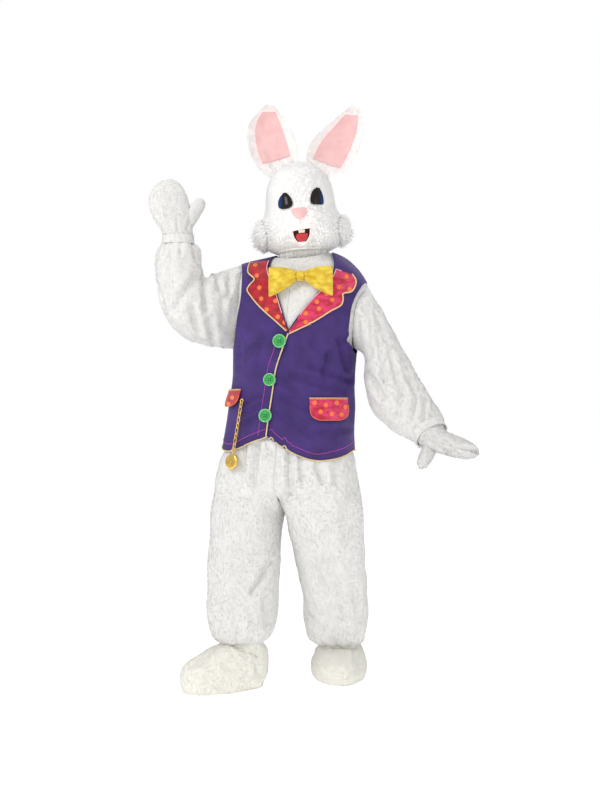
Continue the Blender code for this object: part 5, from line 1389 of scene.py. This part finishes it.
@dataclass
class Waistcoat:
    """The purple waistcoat with lapels, braid, buttons, flaps and stitching."""

    finishes: Finishes
    stitch_inset: float = 0.028
    stitch_length: float = 0.0055
    stitch_gap: float = 0.0020
    stitch_radius: float = 0.0011
    braid_radius: float = 0.0016
    braid_spread: float = 0.0011
    braid_pitch: float = 0.0075
    hem_radius: float = 0.0013
    hem_spread: float = 0.0012
    hem_pitch: float = 0.0070
    piping_radius: float = 0.0014
    spine: Spine = Spine(TORSO_LINE)

    def build(self) -> Surface:
        """Make the waistcoat and everything sewn on it, and return its surface."""
        folds = Folds(self.spine, VEST_CREASES, back_share=0.7, swell=0.0014, strength=1.7)
        cuts = {
            "vest_front_left": Cut(0.34, 0.76, 0.184),
            "vest_front_right": Cut(0.32, 0.74, 0.158),
            "vest_back": Cut(0.62, 0.76, 0.383),
        }
        panels = []
        for node, cut in cuts.items():
            levels = 2 if node == "vest_back" else 3
            made = skin(node, f"{node}_cloth", self.finishes.purple, levels, folds=folds)
            panels.append(made)
        surface = Surface(*panels)
        self._lapels(surface)
        self._braid(surface)
        self._flaps()
        self._topstitch(surface)
        for number in (1, 2, 3):
            Button(f"button_{number}", self.finishes).build()
        return surface

    def _lapel_point(self, front: Surface) -> Piece:
        """Make the left lapel's lower point, which runs down to the foot of the V."""
        inner = (Vector((0.0075, 0, -0.1800)), Vector((-0.0262, 0, -0.2235)))
        outer = (Vector((0.0470, 0, -0.2010)), Vector((-0.0262, 0, -0.2340)))
        bm = bmesh.new()
        bmesh.ops.create_grid(bm, x_segments=26, y_segments=10, size=0.5)
        for vert in bm.verts:
            along, across = vert.co.x + 0.5, vert.co.y + 0.5
            spot = inner[0].lerp(inner[1], along).lerp(outer[0].lerp(outer[1], along), across)
            vert.co, _ = front.from_front(spot.x, spot.z, 0.0026)
        bmesh.ops.recalc_face_normals(bm, faces=bm.faces[:])
        bmesh.ops.solidify(bm, geom=bm.faces[:], thickness=0.0014)
        # the left lapel's point takes the lighter, pinker copy of the red satin: painted light
        mesh = mesh_of("lapel_left_point_satin", bm, self.finishes.lit_red)
        mesh.shade_smooth()
        made = link_piece("lapel_left_point_satin", mesh, COSTUME)
        mark_dots(made, LAPEL_DOTS)
        edge = [outer[0].lerp(outer[1], k / 60) for k in range(61)]
        laid = [front.from_front(p.x, p.z, 0.0030)[0] for p in edge]
        self._cord("lapel_left_point_cord", smooth_path(laid, CORD_STEP))
        return made

    def _cord(self, name: str, path: Sequence[Vector]) -> Piece:
        """Lay a gold cord of three strands along a path."""
        strands = twisted(path, self.braid_spread, self.braid_pitch, 3)
        return rope(name, strands, self.braid_radius, self.finishes.gold)

    def _lapels(self, front: Surface) -> None:
        """Make the satin lapels, their piping and their dots."""
        # the left lapel takes the lighter, pinker copy of the red satin: painted light for the light on
        # that side
        for hand, finish in zip(HANDS, (self.finishes.red, self.finishes.lit_red)):
            node = f"lapel_{hand}"
            made = skin(node, f"{node}_satin", finish, 3)
            mark_dots(made, LAPEL_DOTS)
            point = [self._lapel_point(front)] if hand == "left" else []
            braid = ring_chain(f"{node}_braid")
            edge = rim(node, self.spine)
            far = [p for p in edge if min((p - q).length for q in braid) > 0.022]
            path = smooth_path(order_line(far), 0.004)
            surface = Surface(made)
            laid = [surface.near(p, 0.0004)[0] for p in path]
            rope(f"{node}_piping", [laid], self.piping_radius, self.finishes.piping)

    def _notch(self, start: float = -0.096, end: float = -0.015, step: float = 0.009) -> list[Vector]:
        """Return the left front's hem beside the notch, read from the cloth's lowest points.

        Args:
            start: where the run starts, across the front.
            end: where it ends.
            step: the distance between its points.

        Returns:
            The hem's points in order.
        """
        points = coordinates(bpy.data.objects["vest_front_left_cloth"].data)
        found = []
        for middle in np.arange(start, end, step):
            near = points[(np.abs(points[:, 0] - middle) < step / 2) & (points[:, 1] < 0.0)]
            if len(near):
                low = near[near[:, 2] < near[:, 2].min() + 0.003]
                front = low[low[:, 1].argmin()]
                found.append(Vector((middle, front[1], front[2])))
        return found

    def _hem(self, surface: Surface, step: float, rise: float, lift: float) -> list[list[Vector]]:
        """Return lines along the panels' hems and beside the notch, laid on the cloth.

        Args:
            surface: the cloth.
            step: the distance between a line's points.
            rise: how far the lines run above the edge.
            lift: how far they lie off the cloth.

        Returns:
            One line for each panel and one for the notch.
        """
        panels = ("vest_front_left", "vest_front_right", "vest_back")
        edges = [order_line([p for p in rim(node, self.spine) if p.z < HEM_TOP]) for node in panels]
        up = Vector((0, 0, rise))
        return [
            [surface.near(p + up, lift)[0] for p in smooth_path(edge, step)]
            for edge in (*edges, self._notch())
        ]

    def _braid(self, surface: Surface) -> None:
        """Lay twisted gold cord over the braids and along the hem."""
        for node in ("vest_front_braid", "lapel_right_braid", "lapel_left_braid"):
            path = smooth_path(ring_chain(node), CORD_STEP)
            if node == "lapel_left_braid":  # the added point's own cord runs on from there
                path = [p for p in path if p.x > 0.040 or p.z > -0.190]
            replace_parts(self._cord(f"{node}_cord", path), node)
        strands: list[list[Vector]] = []
        for line in self._hem(surface, CORD_STEP, 0.0, 0.0008):
            strands += twisted(line, self.hem_spread, self.hem_pitch)
        rope("vest_hem_cord", strands, self.hem_radius, self.finishes.gold)

    def _topstitch(self, surface: Surface) -> None:
        """Sew magenta stitches along the hem and beside the front edge."""
        lines = self._hem(surface, STITCH_STEP, self.stitch_inset, 0.0003)
        beside = [p - Vector((self.stitch_inset, 0, 0)) for p in ring_chain("vest_front_braid")]
        lines.append(
            [surface.from_front(p.x, p.z, 0.0003)[0] for p in smooth_path(beside, STITCH_STEP)]
        )
        rows = [row for line in lines for row in stitches(line, self.stitch_length, self.stitch_gap)]
        rope("vest_topstitch", rows, self.stitch_radius, self.finishes.magenta)

    def _flaps(self) -> None:
        """Make the pocket flaps with dots and a scalloped gold edge."""
        # the left flap takes the lighter, pinker copy of the red satin: painted light for the light on
        # that side
        for hand, finish in zip(HANDS, (self.finishes.red, self.finishes.lit_red)):
            node = f"pocket_flap_{hand}"
            made = skin(node, f"{node}_satin", finish, 3)
            mark_dots(made, FLAP_DOTS)
            edge = rim(node, self.spine)
            top = max(p.z for p in edge)
            upper = order_line([p for p in edge if p.z > top - 0.016])
            surface = Surface(made)
            line = smooth_path(upper, 0.0010)
            wavy = [
                surface.near(p + Vector((0, 0, -0.0030 - 0.0022 * abs(math.sin(k * 0.55)))), 0.0008)[0]
                for k, p in enumerate(line)
            ]
            straight = [surface.near(p + Vector((0, 0, -0.0012)), 0.0008)[0] for p in line]
            rope(f"{node}_trim", [wavy, straight], 0.0009, self.finishes.gold)
            lower = order_line([p for p in edge if p.z <= top - 0.010])
            laid = [surface.near(p, 0.0003)[0] for p in smooth_path(lower, 0.003)]
            rope(f"{node}_edge", [laid], 0.0012, finish)


def order_line(points: Sequence[Vector]) -> list[Vector]:
    """Put points of a closed line that was cut open into one run."""
    jumps = [(points[k] - points[k - 1]).length for k in range(len(points))]
    start = int(np.argmax(jumps))
    return [*points[start:], *points[:start]]


def mark_dots(made: Piece, dots: Sequence[tuple[float, float]]) -> None:
    """Store each point's distance from the nearest dot, as a share of a dot's width."""
    points = coordinates(made.data)[:, (0, 2)]
    far = np.min([np.linalg.norm(points - np.array(dot), axis=1) for dot in dots], axis=0)
    store(made.data, "dots", np.clip(far / (2 * DOT_RADIUS), 0.0, 1.0))


@dataclass
class Button:
    """A four-hole button with a pale rim, a sunk middle and its thread."""

    node: str
    finishes: Finishes
    rim_share: float = 0.80
    hole_place: float = 0.24
    hole_radius: float = 0.0022
    sides: int = 56

    def build(self) -> None:
        """Make the button's disc, rim and thread where its solid is."""
        place, radius, thickness = self._read()
        disc = self._disc(place, radius * self.rim_share, thickness * 0.72)
        self._ring(place, radius, thickness).data.shade_smooth()
        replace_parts(disc, self.node)
        self._thread(place, radius, thickness)
        LOG.info("button %s: %.1f mm across", self.node, 2000 * radius)

    def _read(self) -> tuple[Matrix, float, float]:
        """Return the button's place, radius and thickness from its solid."""
        points = coordinates(bpy.data.objects[self.node].data)
        middle = (points.min(0) + points.max(0)) / 2
        _, _, axes = np.linalg.svd(points - points.mean(0))
        out = axes[2] if axes[2][1] < 0 else -axes[2]
        far = (points - middle) @ out
        flat = (points - middle) - far[:, None] * out
        radius = float(np.linalg.norm(flat, axis=1).max())
        first = np.cross([0.0, 0.0, 1.0], out)
        first /= np.linalg.norm(first)
        frame = Matrix([first, np.cross(out, first), out]).transposed().to_4x4()
        frame.translation = Vector(middle + out * far.min())
        return frame, radius, float(far.max() - far.min())

    def _turned(
        self, name: str, profile: Sequence[tuple[float, float]], place: Matrix, finish: Material
    ) -> Piece:
        """Spin a profile of radius and height into a closed piece."""
        bm = bmesh.new()
        verts = [bm.verts.new((r, 0.0, h)) for r, h in profile]
        edges = [bm.edges.new(pair) for pair in zip(verts, verts[1:])]
        if profile[0][0] > 0:
            edges.append(bm.edges.new((verts[-1], verts[0])))
        bmesh.ops.spin(
            bm, geom=verts + edges, axis=(0, 0, 1), cent=(0, 0, 0), angle=2 * math.pi,
            steps=self.sides, use_merge=True,
        )
        bmesh.ops.remove_doubles(bm, verts=bm.verts[:], dist=1e-6)
        bmesh.ops.recalc_face_normals(bm, faces=bm.faces[:])
        bmesh.ops.transform(bm, matrix=place, verts=bm.verts[:])
        return link_piece(name, mesh_of(name, bm, finish), COSTUME)

    def _ring(self, place: Matrix, radius: float, thick: float) -> Piece:
        """Return the raised outer rim."""
        inner = radius * self.rim_share
        profile = (
            (inner - 0.0004, 0.0), (radius * 0.97, 0.0), (radius, thick * 0.30), (radius, thick * 0.62),
            (radius * 0.96, thick * 0.90), (radius * 0.91, thick), (radius * 0.86, thick * 0.93),
            (inner - 0.0004, thick * 0.60),
        )
        return self._turned(f"{self.node}_rim", profile, place, self.finishes.pale_green)

    def _disc(self, place: Matrix, radius: float, thick: float) -> Piece:
        """Return the sunk middle with four holes."""
        profile = (
            (0.0, 0.0), (radius * 0.98, 0.0), (radius * 0.98, thick * 0.80), (radius * 0.90, thick * 0.62),
            (radius * 0.55, thick * 0.58), (radius * 0.52, thick * 0.74), (radius * 0.30, thick * 0.80),
            (0.0, thick * 0.82),
        )
        disc = self._turned(f"{self.node}_disc", profile, place, self.finishes.green)
        bm = bmesh.new()
        for k in range(4):
            turn = math.pi / 4 + k * math.pi / 2
            spoke = Vector((math.cos(turn), math.sin(turn), 0)) * radius * 1.25 * self.hole_place
            made = bmesh.ops.create_cone(
                bm, cap_ends=True, segments=16, radius1=self.hole_radius, radius2=self.hole_radius,
                depth=0.03,
            )
            bmesh.ops.transform(bm, matrix=place @ Matrix.Translation(spoke), verts=made["verts"])
        tool = in_scene("holes", mesh_of("holes", bm))
        cut = disc.modifiers.new("holes", "BOOLEAN")
        cut.operation, cut.solver, cut.object = "DIFFERENCE", "EXACT", tool
        baked(disc)
        bpy.data.objects.remove(tool)
        disc.data.shade_smooth()
        disc.data.set_sharp_from_angle(angle=math.radians(35))
        return disc

    def _thread(self, place: Matrix, radius: float, thick: float) -> None:
        """Sew the button on with two crossed rows of thread."""
        reach = radius * self.rim_share * 1.25 * self.hole_place
        rows: list[list[Vector]] = []
        for turn in (math.pi / 4, 3 * math.pi / 4):
            spoke = Vector((math.cos(turn), math.sin(turn), 0))
            side = Vector((-math.sin(turn), math.cos(turn), 0))
            for shift in (-0.0006, 0.0006):
                line = []
                for share in np.linspace(-1, 1, 9):
                    rise = thick * 0.28 + thick * 0.42 * (1 - abs(share) ** 4)
                    line.append(place @ (spoke * reach * share + side * shift + Vector((0, 0, rise))))
                rows.append(line)
        rope(f"{self.node}_thread", rows, 0.0006, self.finishes.green)


@dataclass
class Watch:
    """The pocket watch, its chain and the ring it hangs from."""

    finishes: Finishes
    radius: float = 0.0232
    case_height: float = 0.056
    edge_turns: int = 30
    edge_steps: int = 150

    def build(self) -> None:
        """Make the ring, the chain's links and the watch with its roped edge."""
        for node, body, grow in (
            ("watch_ring", COSTUME, 0.0006),
            ("watch_chain", WATCH_BODY, 0.0009),
            ("watch", WATCH_BODY, 0.0),
        ):
            made = skin(node, f"{node}_brass", self.finishes.brass, 2, body=body)
            if grow:
                swell = made.modifiers.new("swell", "DISPLACE")
                swell.strength = grow
                swell.mid_level = 0.0
                baked(made)
        points = coordinates(bpy.data.objects["watch"].data)
        low = points[points[:, 2] < points[:, 2].min() + self.case_height]
        middle = (low.min(0) + low.max(0)) / 2
        _, _, axes = np.linalg.svd(low - low.mean(0))
        out = Vector(axes[2] if axes[2][1] < 0 else -axes[2])
        first = out.cross(Vector((0, 0, 1))).normalized()
        second = out.cross(first)
        face = float(np.max((low - middle) @ np.array(out)))
        for name, share, lift in (("watch_rope_edge", 1.0, -0.0012), ("watch_lid_ring", 0.58, -0.0006)):
            ring = []
            for k in range(self.edge_steps):
                turn = 2 * math.pi * k / self.edge_steps
                spoke = (math.cos(turn) * first + math.sin(turn) * second) * self.radius * share
                ring.append(Vector(middle) + out * (face + lift - 0.0012 * share) + spoke)
            rope(
                name, twisted(ring, 0.0006, 2 * math.pi * self.radius * share / self.edge_turns),
                0.0007, self.finishes.gilt, body=WATCH_BODY,
            )


@dataclass
class BowTie:
    """The satin bow tie."""

    finishes: Finishes
    middle: tuple[float, float] = (0.013, -0.0385)
    pleat_depth: float = 0.0022

    def build(self) -> None:
        """Make the wings and the knot with their gathered pleats."""
        for node in ("bow_wing_right", "bow_wing_left", "bow_knot"):
            made = skin(node, f"{node}_satin", self.finishes.yellow, 3)
            points = coordinates(made.data)
            x, z = points[:, 0] - self.middle[0], points[:, 2] - self.middle[1]
            turn = np.arctan2(z, np.abs(x))
            far = np.hypot(x, z)
            if node == "bow_knot":
                points[:, 1] += 0.0012 * np.sin(420 * x + 40 * z)
            else:
                fade = np.exp(-(((far - 0.035) / 0.030) ** 2))
                wave = np.sin(13 * turn + 60 * far + (0.8 if x.mean() > 0 else 0.0))
                points[:, 1] += self.pleat_depth * fade * wave
                soft = np.sin(70 * x + 40 * z) * np.sin(55 * z - 20 * x)
                points[:, 1] += 0.0016 * soft * np.clip(far / 0.06, 0, 1)
            reshape(made.data, points)


@dataclass
class Mask:
    """The plush mask: shell, ears, face and fur."""

    finishes: Finishes
    ear_border: float = 0.0060
    short_fur: float = 0.0062
    fur_tufts: int = 38000
    cheek_tufts: int = 26000
    neck_tufts: int = 8500
    ear_tufts: int = 5200
    pieces: dict[str, Piece] = field(default_factory=dict)

    @property
    def frame(self) -> Matrix:
        """The mask's own frame."""
        turn = Matrix.Rotation(MASK_ROLL, 4, "Y")
        turn.translation = Vector(MASK_PLACE)
        return turn

    def own(self, points: Points) -> Points:
        """Return places in the mask's own frame."""
        back = np.array(self.frame.inverted())
        return points @ back[:3, :3].T + back[:3, 3]

    def cheek(self, points: Points) -> Points:
        """Return how much of the long cheek fur a place carries."""
        x, y, z = self.own(points).T
        side = np.clip((np.abs(x - 0.008) - 0.085) / 0.05, 0, 1)
        return side * np.exp(-(((z - CHEEK_HEIGHT) / 0.042) ** 2)) * np.clip(1 - np.abs(y) / 0.15, 0, 1)

    def blush(self, points: Points) -> Points:
        """Return how much of the muzzle's pink a place carries."""
        gap = self.own(points) - np.array([0.002, -0.175, 0.088])
        return 0.75 * np.exp(-((np.linalg.norm(gap * (1.0, 0.6, 1.1), axis=1) / 0.034) ** 2))

    def sink(self, points: Points) -> Points:
        """Return how far the cloth lies under the solid's surface."""
        return 0.0015 + 0.012 * self.cheek(points)

    def build(self) -> None:
        """Make the shell, ears, eyes, nose and mouth."""
        face = self.finishes.face
        for node, area in (("mask_face", 0.153), ("mask_back", 0.154)):
            made = skin(node, f"{node}_plush", face, 2, Spine(MASK_LINE), sink=self.sink)
            store(made.data, "blush", self.blush(coordinates(made.data)))
            self.pieces[node] = made
        neck = skin("mask_neck", "mask_neck_plush", self.finishes.white, 2)
        self.pieces["mask_neck"] = neck
        self._ears()
        self._face()

    def ear_tint(self, hand: str, strength: float = 0.6, reach: float = 0.024) -> Measure:
        """Return how pink an ear's cloth is at a place, from its nearness to the lining.

        Args:
            hand: which ear it is.
            strength: the pink's share beside the lining.
            reach: how far from the lining it fades.

        Returns:
            A function of places.
        """
        lining = Surface(self.pieces[f"ear_{hand}_lining"])

        def share(points: Points) -> Points:
            """Return the pink's share at each place."""
            far = np.array([lining.tree.find_nearest(Vector(p))[3] for p in points])
            front = np.array([lining.near(p)[0].y + 0.008 - p[1] for p in points]) > 0
            return strength * front * np.exp(-((far / reach) ** 2))

        return share

    def _ears(self) -> None:
        """Make the ears and their linings with the same creases."""
        folds = Folds(Spine(MASK_LINE), EAR_CREASES, swell=0.0008)
        for hand in HANDS:
            for node, finish, slot in (
                (f"ear_{hand}", self.finishes.face, Slot.WHITE),
                (f"ear_{hand}_lining", self.finishes.pink, Slot.PINK),
            ):
                made = skin(node, f"{node}_plush", finish, 3 if "lining" in node else 2)
                points = coordinates(made.data)
                front = np.tile([0.0, -1.0, 0.0], (len(points), 1))
                points[:, 1] -= folds.depth(points, front)
                reshape(made.data, points)
                self.pieces[node] = made
            ear = self.pieces[f"ear_{hand}"].data
            store(ear, "blush", self.ear_tint(hand)(coordinates(ear)))

    def _face(self) -> None:
        """Make the eyes, nose, mouth, tongue, teeth, lip and muzzle seam."""
        for hand, middle, outer in (("right", -0.034, -0.062), ("left", 0.062, 0.090)):
            finish = EyeFinish(f"eye_{hand}_gloss", middle, outer).make()
            node = f"eye_{hand}"
            made = skin(node, f"{node}_dome", finish, 3)
            edge = smooth_path(rim_front(node), 0.0015, closed=True)
            surface = Surface(self.pieces["mask_face"], made)
            laid = [surface.near(p, 0.0006)[0] for p in edge]
            rope(f"{node}_rim", [laid], 0.0011, self.finishes.black_thread, closed=True)
        nose = skin("nose", "nose_plush", self.finishes.pink, 3)
        mouth = skin("mouth_lining", "mouth_lining_cloth", self.finishes.mouth, 2)
        for node, finish, slot in (
            ("tongue", self.finishes.tongue, Slot.TONGUE),
            ("teeth", self.finishes.teeth, Slot.TEETH),
        ):
            skin(node, f"{node}_cloth_piece", finish, 3)
        edge = smooth_path([(x, 0.0, z) for x, z in MOUTH_EDGE], 0.002)
        lip = self._on_shell(((p.x * 1.05, p.z - 0.0022) for p in edge), 0.0030)
        rope("lower_lip", [lip], 0.0032, self.finishes.lip)
        seam = self._on_shell(((0.001, float(z)) for z in np.linspace(0.101, 0.078, 9)), 0.0055)
        rope("muzzle_seam", [seam], 0.0010, self.finishes.seam)

    def _on_shell(self, places: Iterable[tuple[float, float]], lift: float) -> list[Vector]:
        """Lay places across and up the mask's own front on its face."""
        shell = Surface(self.pieces["mask_face"])
        worlds = [self.frame @ Vector((x, 0.0, z)) for x, z in places]
        return [shell.from_front(world.x, world.z, lift)[0] for world in worlds]

    def plant(self, plush: Plush, face_plush: Plush) -> None:
        """Plant short fur on the face, long fur on the cheeks, and fur on the ears."""
        spine = Spine(MASK_LINE)
        nose = np.array(self.frame @ Vector(NOSE_MIDDLE))
        hollow = self._bare()

        def length(points: Points) -> Points:
            """Return the fur's length: long on the cheeks and the crown, short on the muzzle."""
            own = self.own(points)
            base = self.short_fur + 0.034 * self.cheek(points)
            crown = np.clip((own[:, 2] - 0.285) / 0.03, 0, 1) * np.clip(1 - np.abs(own[:, 0]) / 0.06, 0, 1)
            base = base + 0.016 * crown
            muzzle = np.exp(-((np.linalg.norm(own - np.array([0.0, -0.17, 0.09]), axis=1) / 0.05) ** 2))
            return (base - 0.0035 * muzzle) * hollow(points)

        def comb(points: Points, normals: Points) -> Points:
            """Comb the fur away from the nose, and outwards on the cheeks."""
            away = points - nose
            away /= np.linalg.norm(away, axis=1)[:, None]
            cheek = self.cheek(points)[:, None]
            way = spine.outward(points)
            return away * (1 - 0.5 * cheek) + cheek * way + np.array([0.0, 0.0, -0.35]) * (0.4 + cheek)

        ground = [self.pieces["mask_face"], self.pieces["mask_back"]]
        face_plush.plant(
            "mask_fur", ground, self.fur_tufts, spine, length, comb, 0.62, 11, blush=self.blush
        )

        def cheeks(points: Points) -> Points:
            """Return the long fur's length on the cheeks, 0 elsewhere."""
            share = self.cheek(points)
            return np.where(share > 0.22, 0.024 + 0.030 * share, 0.0)

        face_plush.plant(
            "cheek_fur", ground, self.cheek_tufts, spine, cheeks, comb, 0.50, 12, blush=self.blush
        )
        neck = [self.pieces["mask_neck"]]
        plush.plant("neck_nap", neck, self.neck_tufts, spine, even(0.024), DOWNWARD, 0.70, 13)
        for seed, hand in enumerate(HANDS, 21):
            cover = Surface(self.pieces[f"ear_{hand}_lining"])
            for face, way in zip(FACES, (-1.0, 1.0)):
                ear = self.pieces[f"ear_{hand}"]
                line = Spine(((0.0, -way * 3.0, 0.3), (0.0, -way * 3.0, 0.6)))
                face_plush.plant(
                    f"ear_{hand}_{face}_fur", [ear], self.ear_tufts, line, even(self.ear_border),
                    toward(0.0, 0.0, 1.0), 0.80, seed * 2 + int(way),
                    cover if face == "front" else None, self.ear_tint(hand),
                )

    def _bare(self) -> Measure:
        """Return a function that is 0 on the eyes, nose and mouth and 1 elsewhere."""
        places = []
        for node, grow in (("eye_right", 0.90), ("eye_left", 0.90), ("nose", 0.85)):
            low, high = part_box(node)
            middle = (low + high) / 2
            places.append((middle.x, middle.z, (high.x - low.x) / 2 * grow, (high.z - low.z) / 2 * grow))
        mouth = self.frame @ Vector((0.0035, 0.0, 0.052))
        places.append((mouth.x, mouth.z, 0.034, 0.036))

        def share(points: Points) -> Points:
            """Return 0 at bare places and 1 at the others."""
            kept = np.ones(len(points))
            for x, z, wide, high in places:
                inside = ((points[:, 0] - x) / wide) ** 2 + ((points[:, 2] - z) / high) ** 2 < 1
                kept[inside & (points[:, 1] < -0.05)] = 0.0
            return kept

        return share


def rim_front(node: str) -> list[Vector]:
    """Return the edge of a piece on the face, as a closed line seen from the front."""
    return rim(node, Spine(((0.0, 3.0, 0.1), (0.0, 3.0, 0.3))))


@dataclass
class Mittens:
    """The plush mittens."""

    finishes: Finishes
    nap_length: float = 0.006
    tufts: int = 6000
    thumb_tufts: int = 1200
    pieces: dict[str, list[Piece]] = field(default_factory=dict)

    def build(self) -> None:
        """Make each mitten's palm, back and thumb."""
        for hand in HANDS:
            folds = Folds(Spine(SLEEVE_LINES[hand][-2:]), MITTEN_CREASES, swell=0.0008)
            self.pieces[hand] = []
            for part, cut in (
                ("back", Cut(0.16, 0.23, 0.031, Held.STRETCHED)),
                ("palm", Cut(0.16, 0.23, 0.031, Held.STRETCHED)),
                ("thumb", Cut(0.11, 0.11, 0.010, Held.STRETCHED)),
            ):
                node = f"mitten_{hand}_{part}"
                levels, creased = (2, None) if part == "thumb" else (3, folds)
                made = skin(
                    node, f"{node}_plush", self.finishes.white, levels, folds=creased
                )
                self.pieces[hand].append(made)

    def plant(self, plush: Plush) -> None:
        """Plant the nap."""
        nap = even(self.nap_length)
        for seed, hand in enumerate(HANDS, 31):
            line = SLEEVE_LINES[hand][-2:]
            way = tuple((Vector(line[1]) - Vector(line[0])).normalized())
            *ground, thumb = self.pieces[hand]
            plush.plant(
                f"mitten_{hand}_nap", ground, self.tufts, Spine(line), nap, toward(*way), 0.80, seed
            )
            middle = coordinates(thumb.data).mean(0)
            bone = Spine((tuple(middle), tuple(middle + 0.02 * np.array(way))))
            plush.plant(
                f"mitten_{hand}_thumb_nap", [thumb], self.thumb_tufts, bone, nap, toward(*way), 0.80,
                seed + 5,
            )


@dataclass
class ShoeCovers:
    """The cream plush shoe covers."""

    finishes: Finishes
    nap_length: float = 0.0055
    tufts: int = 11000

    def build(self, plush: Plush) -> None:
        """Make the uppers and soles, and the nap."""
        cream = self.finishes.cream
        for seed, (hand, area) in enumerate(zip(HANDS, (0.139, 0.110)), 41):
            spine = Spine(SHOE_LINES[hand])
            folds = Folds(spine, SHOE_CREASES, swell=0.0022, strength=1.3)
            node = f"shoe_cover_{hand}"
            upper = skin(node, f"{node}_plush", cream, 3, folds=folds, ease=25)
            sole = skin(f"shoe_sole_{hand}", f"shoe_sole_{hand}_cloth", cream, 2)
            plush.plant(
                f"shoe_{hand}_nap", [upper], self.tufts, spine, even(self.nap_length), DOWNWARD, 0.80, seed
            )


@dataclass
class Studio:
    """The plain floor, soft lights and the camera at the photograph's view."""

    camera_distance: float = 4.2
    camera_height: float = -0.4605
    view_height: float = 2.827
    sensor: float = 36.0
    shift: float = 3 / 800
    floor_glow: float = 0.48
    room_light: float = 0.68

    def build(self) -> None:
        """Make the camera, the lights, the floor and the pale surroundings."""
        camera = bpy.data.cameras.new("camera")
        camera.sensor_width = self.sensor
        camera.lens = self.sensor * self.camera_distance / self.view_height
        camera.shift_x = self.shift
        holder = in_scene("camera", camera)
        holder.location = (0.0, -self.camera_distance, self.camera_height)
        holder.rotation_euler = (math.pi / 2, 0.0, 0.0)
        bpy.context.scene.camera = holder
        for name, place, size, power in (
            ("key_light", (-2.6, -3.0, 2.0), 1.8, 78.0),
            ("fill_light", (2.8, -3.0, 0.6), 2.8, 18.0),
            ("top_light", (0.2, 0.4, 3.2), 2.6, 25.0),
            ("back_light", (1.2, 3.2, 1.8), 2.4, 45.0),
        ):
            self._light(name, place, size, power)
        self._floor()
        self._surroundings()
        bpy.context.scene.view_settings.view_transform = "Standard"

    def _floor(self) -> None:
        """Make the pale floor under the soles."""
        grey = (0.79, 0.79, 0.79), (0.80, 0.80, 0.80)
        paint = HardFinish("floor_paint", *grey, roughness=0.9, glow=self.floor_glow).make()
        bm = bmesh.new()
        bmesh.ops.create_grid(bm, x_segments=2, y_segments=2, size=14.0)
        bmesh.ops.translate(bm, verts=bm.verts[:], vec=(0, 0, FLOOR - 0.0005))
        in_scene("floor", mesh_of("floor", bm, paint))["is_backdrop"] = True

    def _surroundings(self) -> None:
        """Make the pale room, which shows as plain white behind the costume."""
        world = bpy.data.worlds.new("studio")
        world.use_nodes = True
        background = world.node_tree.nodes["Background"]
        background.inputs["Color"].default_value = (1.0, 1.0, 1.0, 1.0)
        seen = world.node_tree.nodes.new("ShaderNodeLightPath")
        level = world.node_tree.nodes.new("ShaderNodeMapRange")
        level.inputs["To Min"].default_value = self.room_light
        level.inputs["To Max"].default_value = 1.0
        world.node_tree.links.new(seen.outputs["Is Camera Ray"], level.inputs["Value"])
        world.node_tree.links.new(level.outputs["Result"], background.inputs["Strength"])
        bpy.context.scene.world = world

    @staticmethod
    def _light(name: str, place: Sequence[float], size: float, power: float) -> None:
        """Add one square light that looks at the costume's middle."""
        lamp = bpy.data.lights.new(name, "AREA")
        lamp.energy = power
        lamp.size = size
        holder = in_scene(name, lamp)
        holder.location = place
        aim = Vector((0.0, 0.0, -0.45)) - Vector(place)
        holder.rotation_euler = aim.to_track_quat("-Z", "Y").to_euler()


def main() -> tuple[Vector, Vector]:
    """Build the costume's looks in order and return the solids' own box."""
    logging.basicConfig(level=logging.INFO, format="%(message)s")
    for item in list(bpy.data.objects):
        bpy.data.objects.remove(item)
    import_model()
    solid_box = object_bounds()
    Studio().build()
    finishes = Finishes()
    white = Plush(finishes.white_tufts, Slot.WHITE, 0.022)
    face = Plush(finishes.face_tufts, Slot.WHITE, 0.021)
    cream = Plush(finishes.cream_tufts, Slot.CREAM, 0.022)
    suit = Suit(finishes)
    suit.build()
    waistcoat = Waistcoat(finishes).build()
    suit.plant(white, waistcoat)
    Watch(finishes).build()
    BowTie(finishes).build()
    mask = Mask(finishes)
    mask.build()
    mask.plant(white, face)
    mittens = Mittens(finishes)
    mittens.build()
    mittens.plant(white)
    ShoeCovers(finishes).build(cream)
    for plush in (white, face, cream):
        plush.done()
    return solid_box


if __name__ == "__main__":
    main()
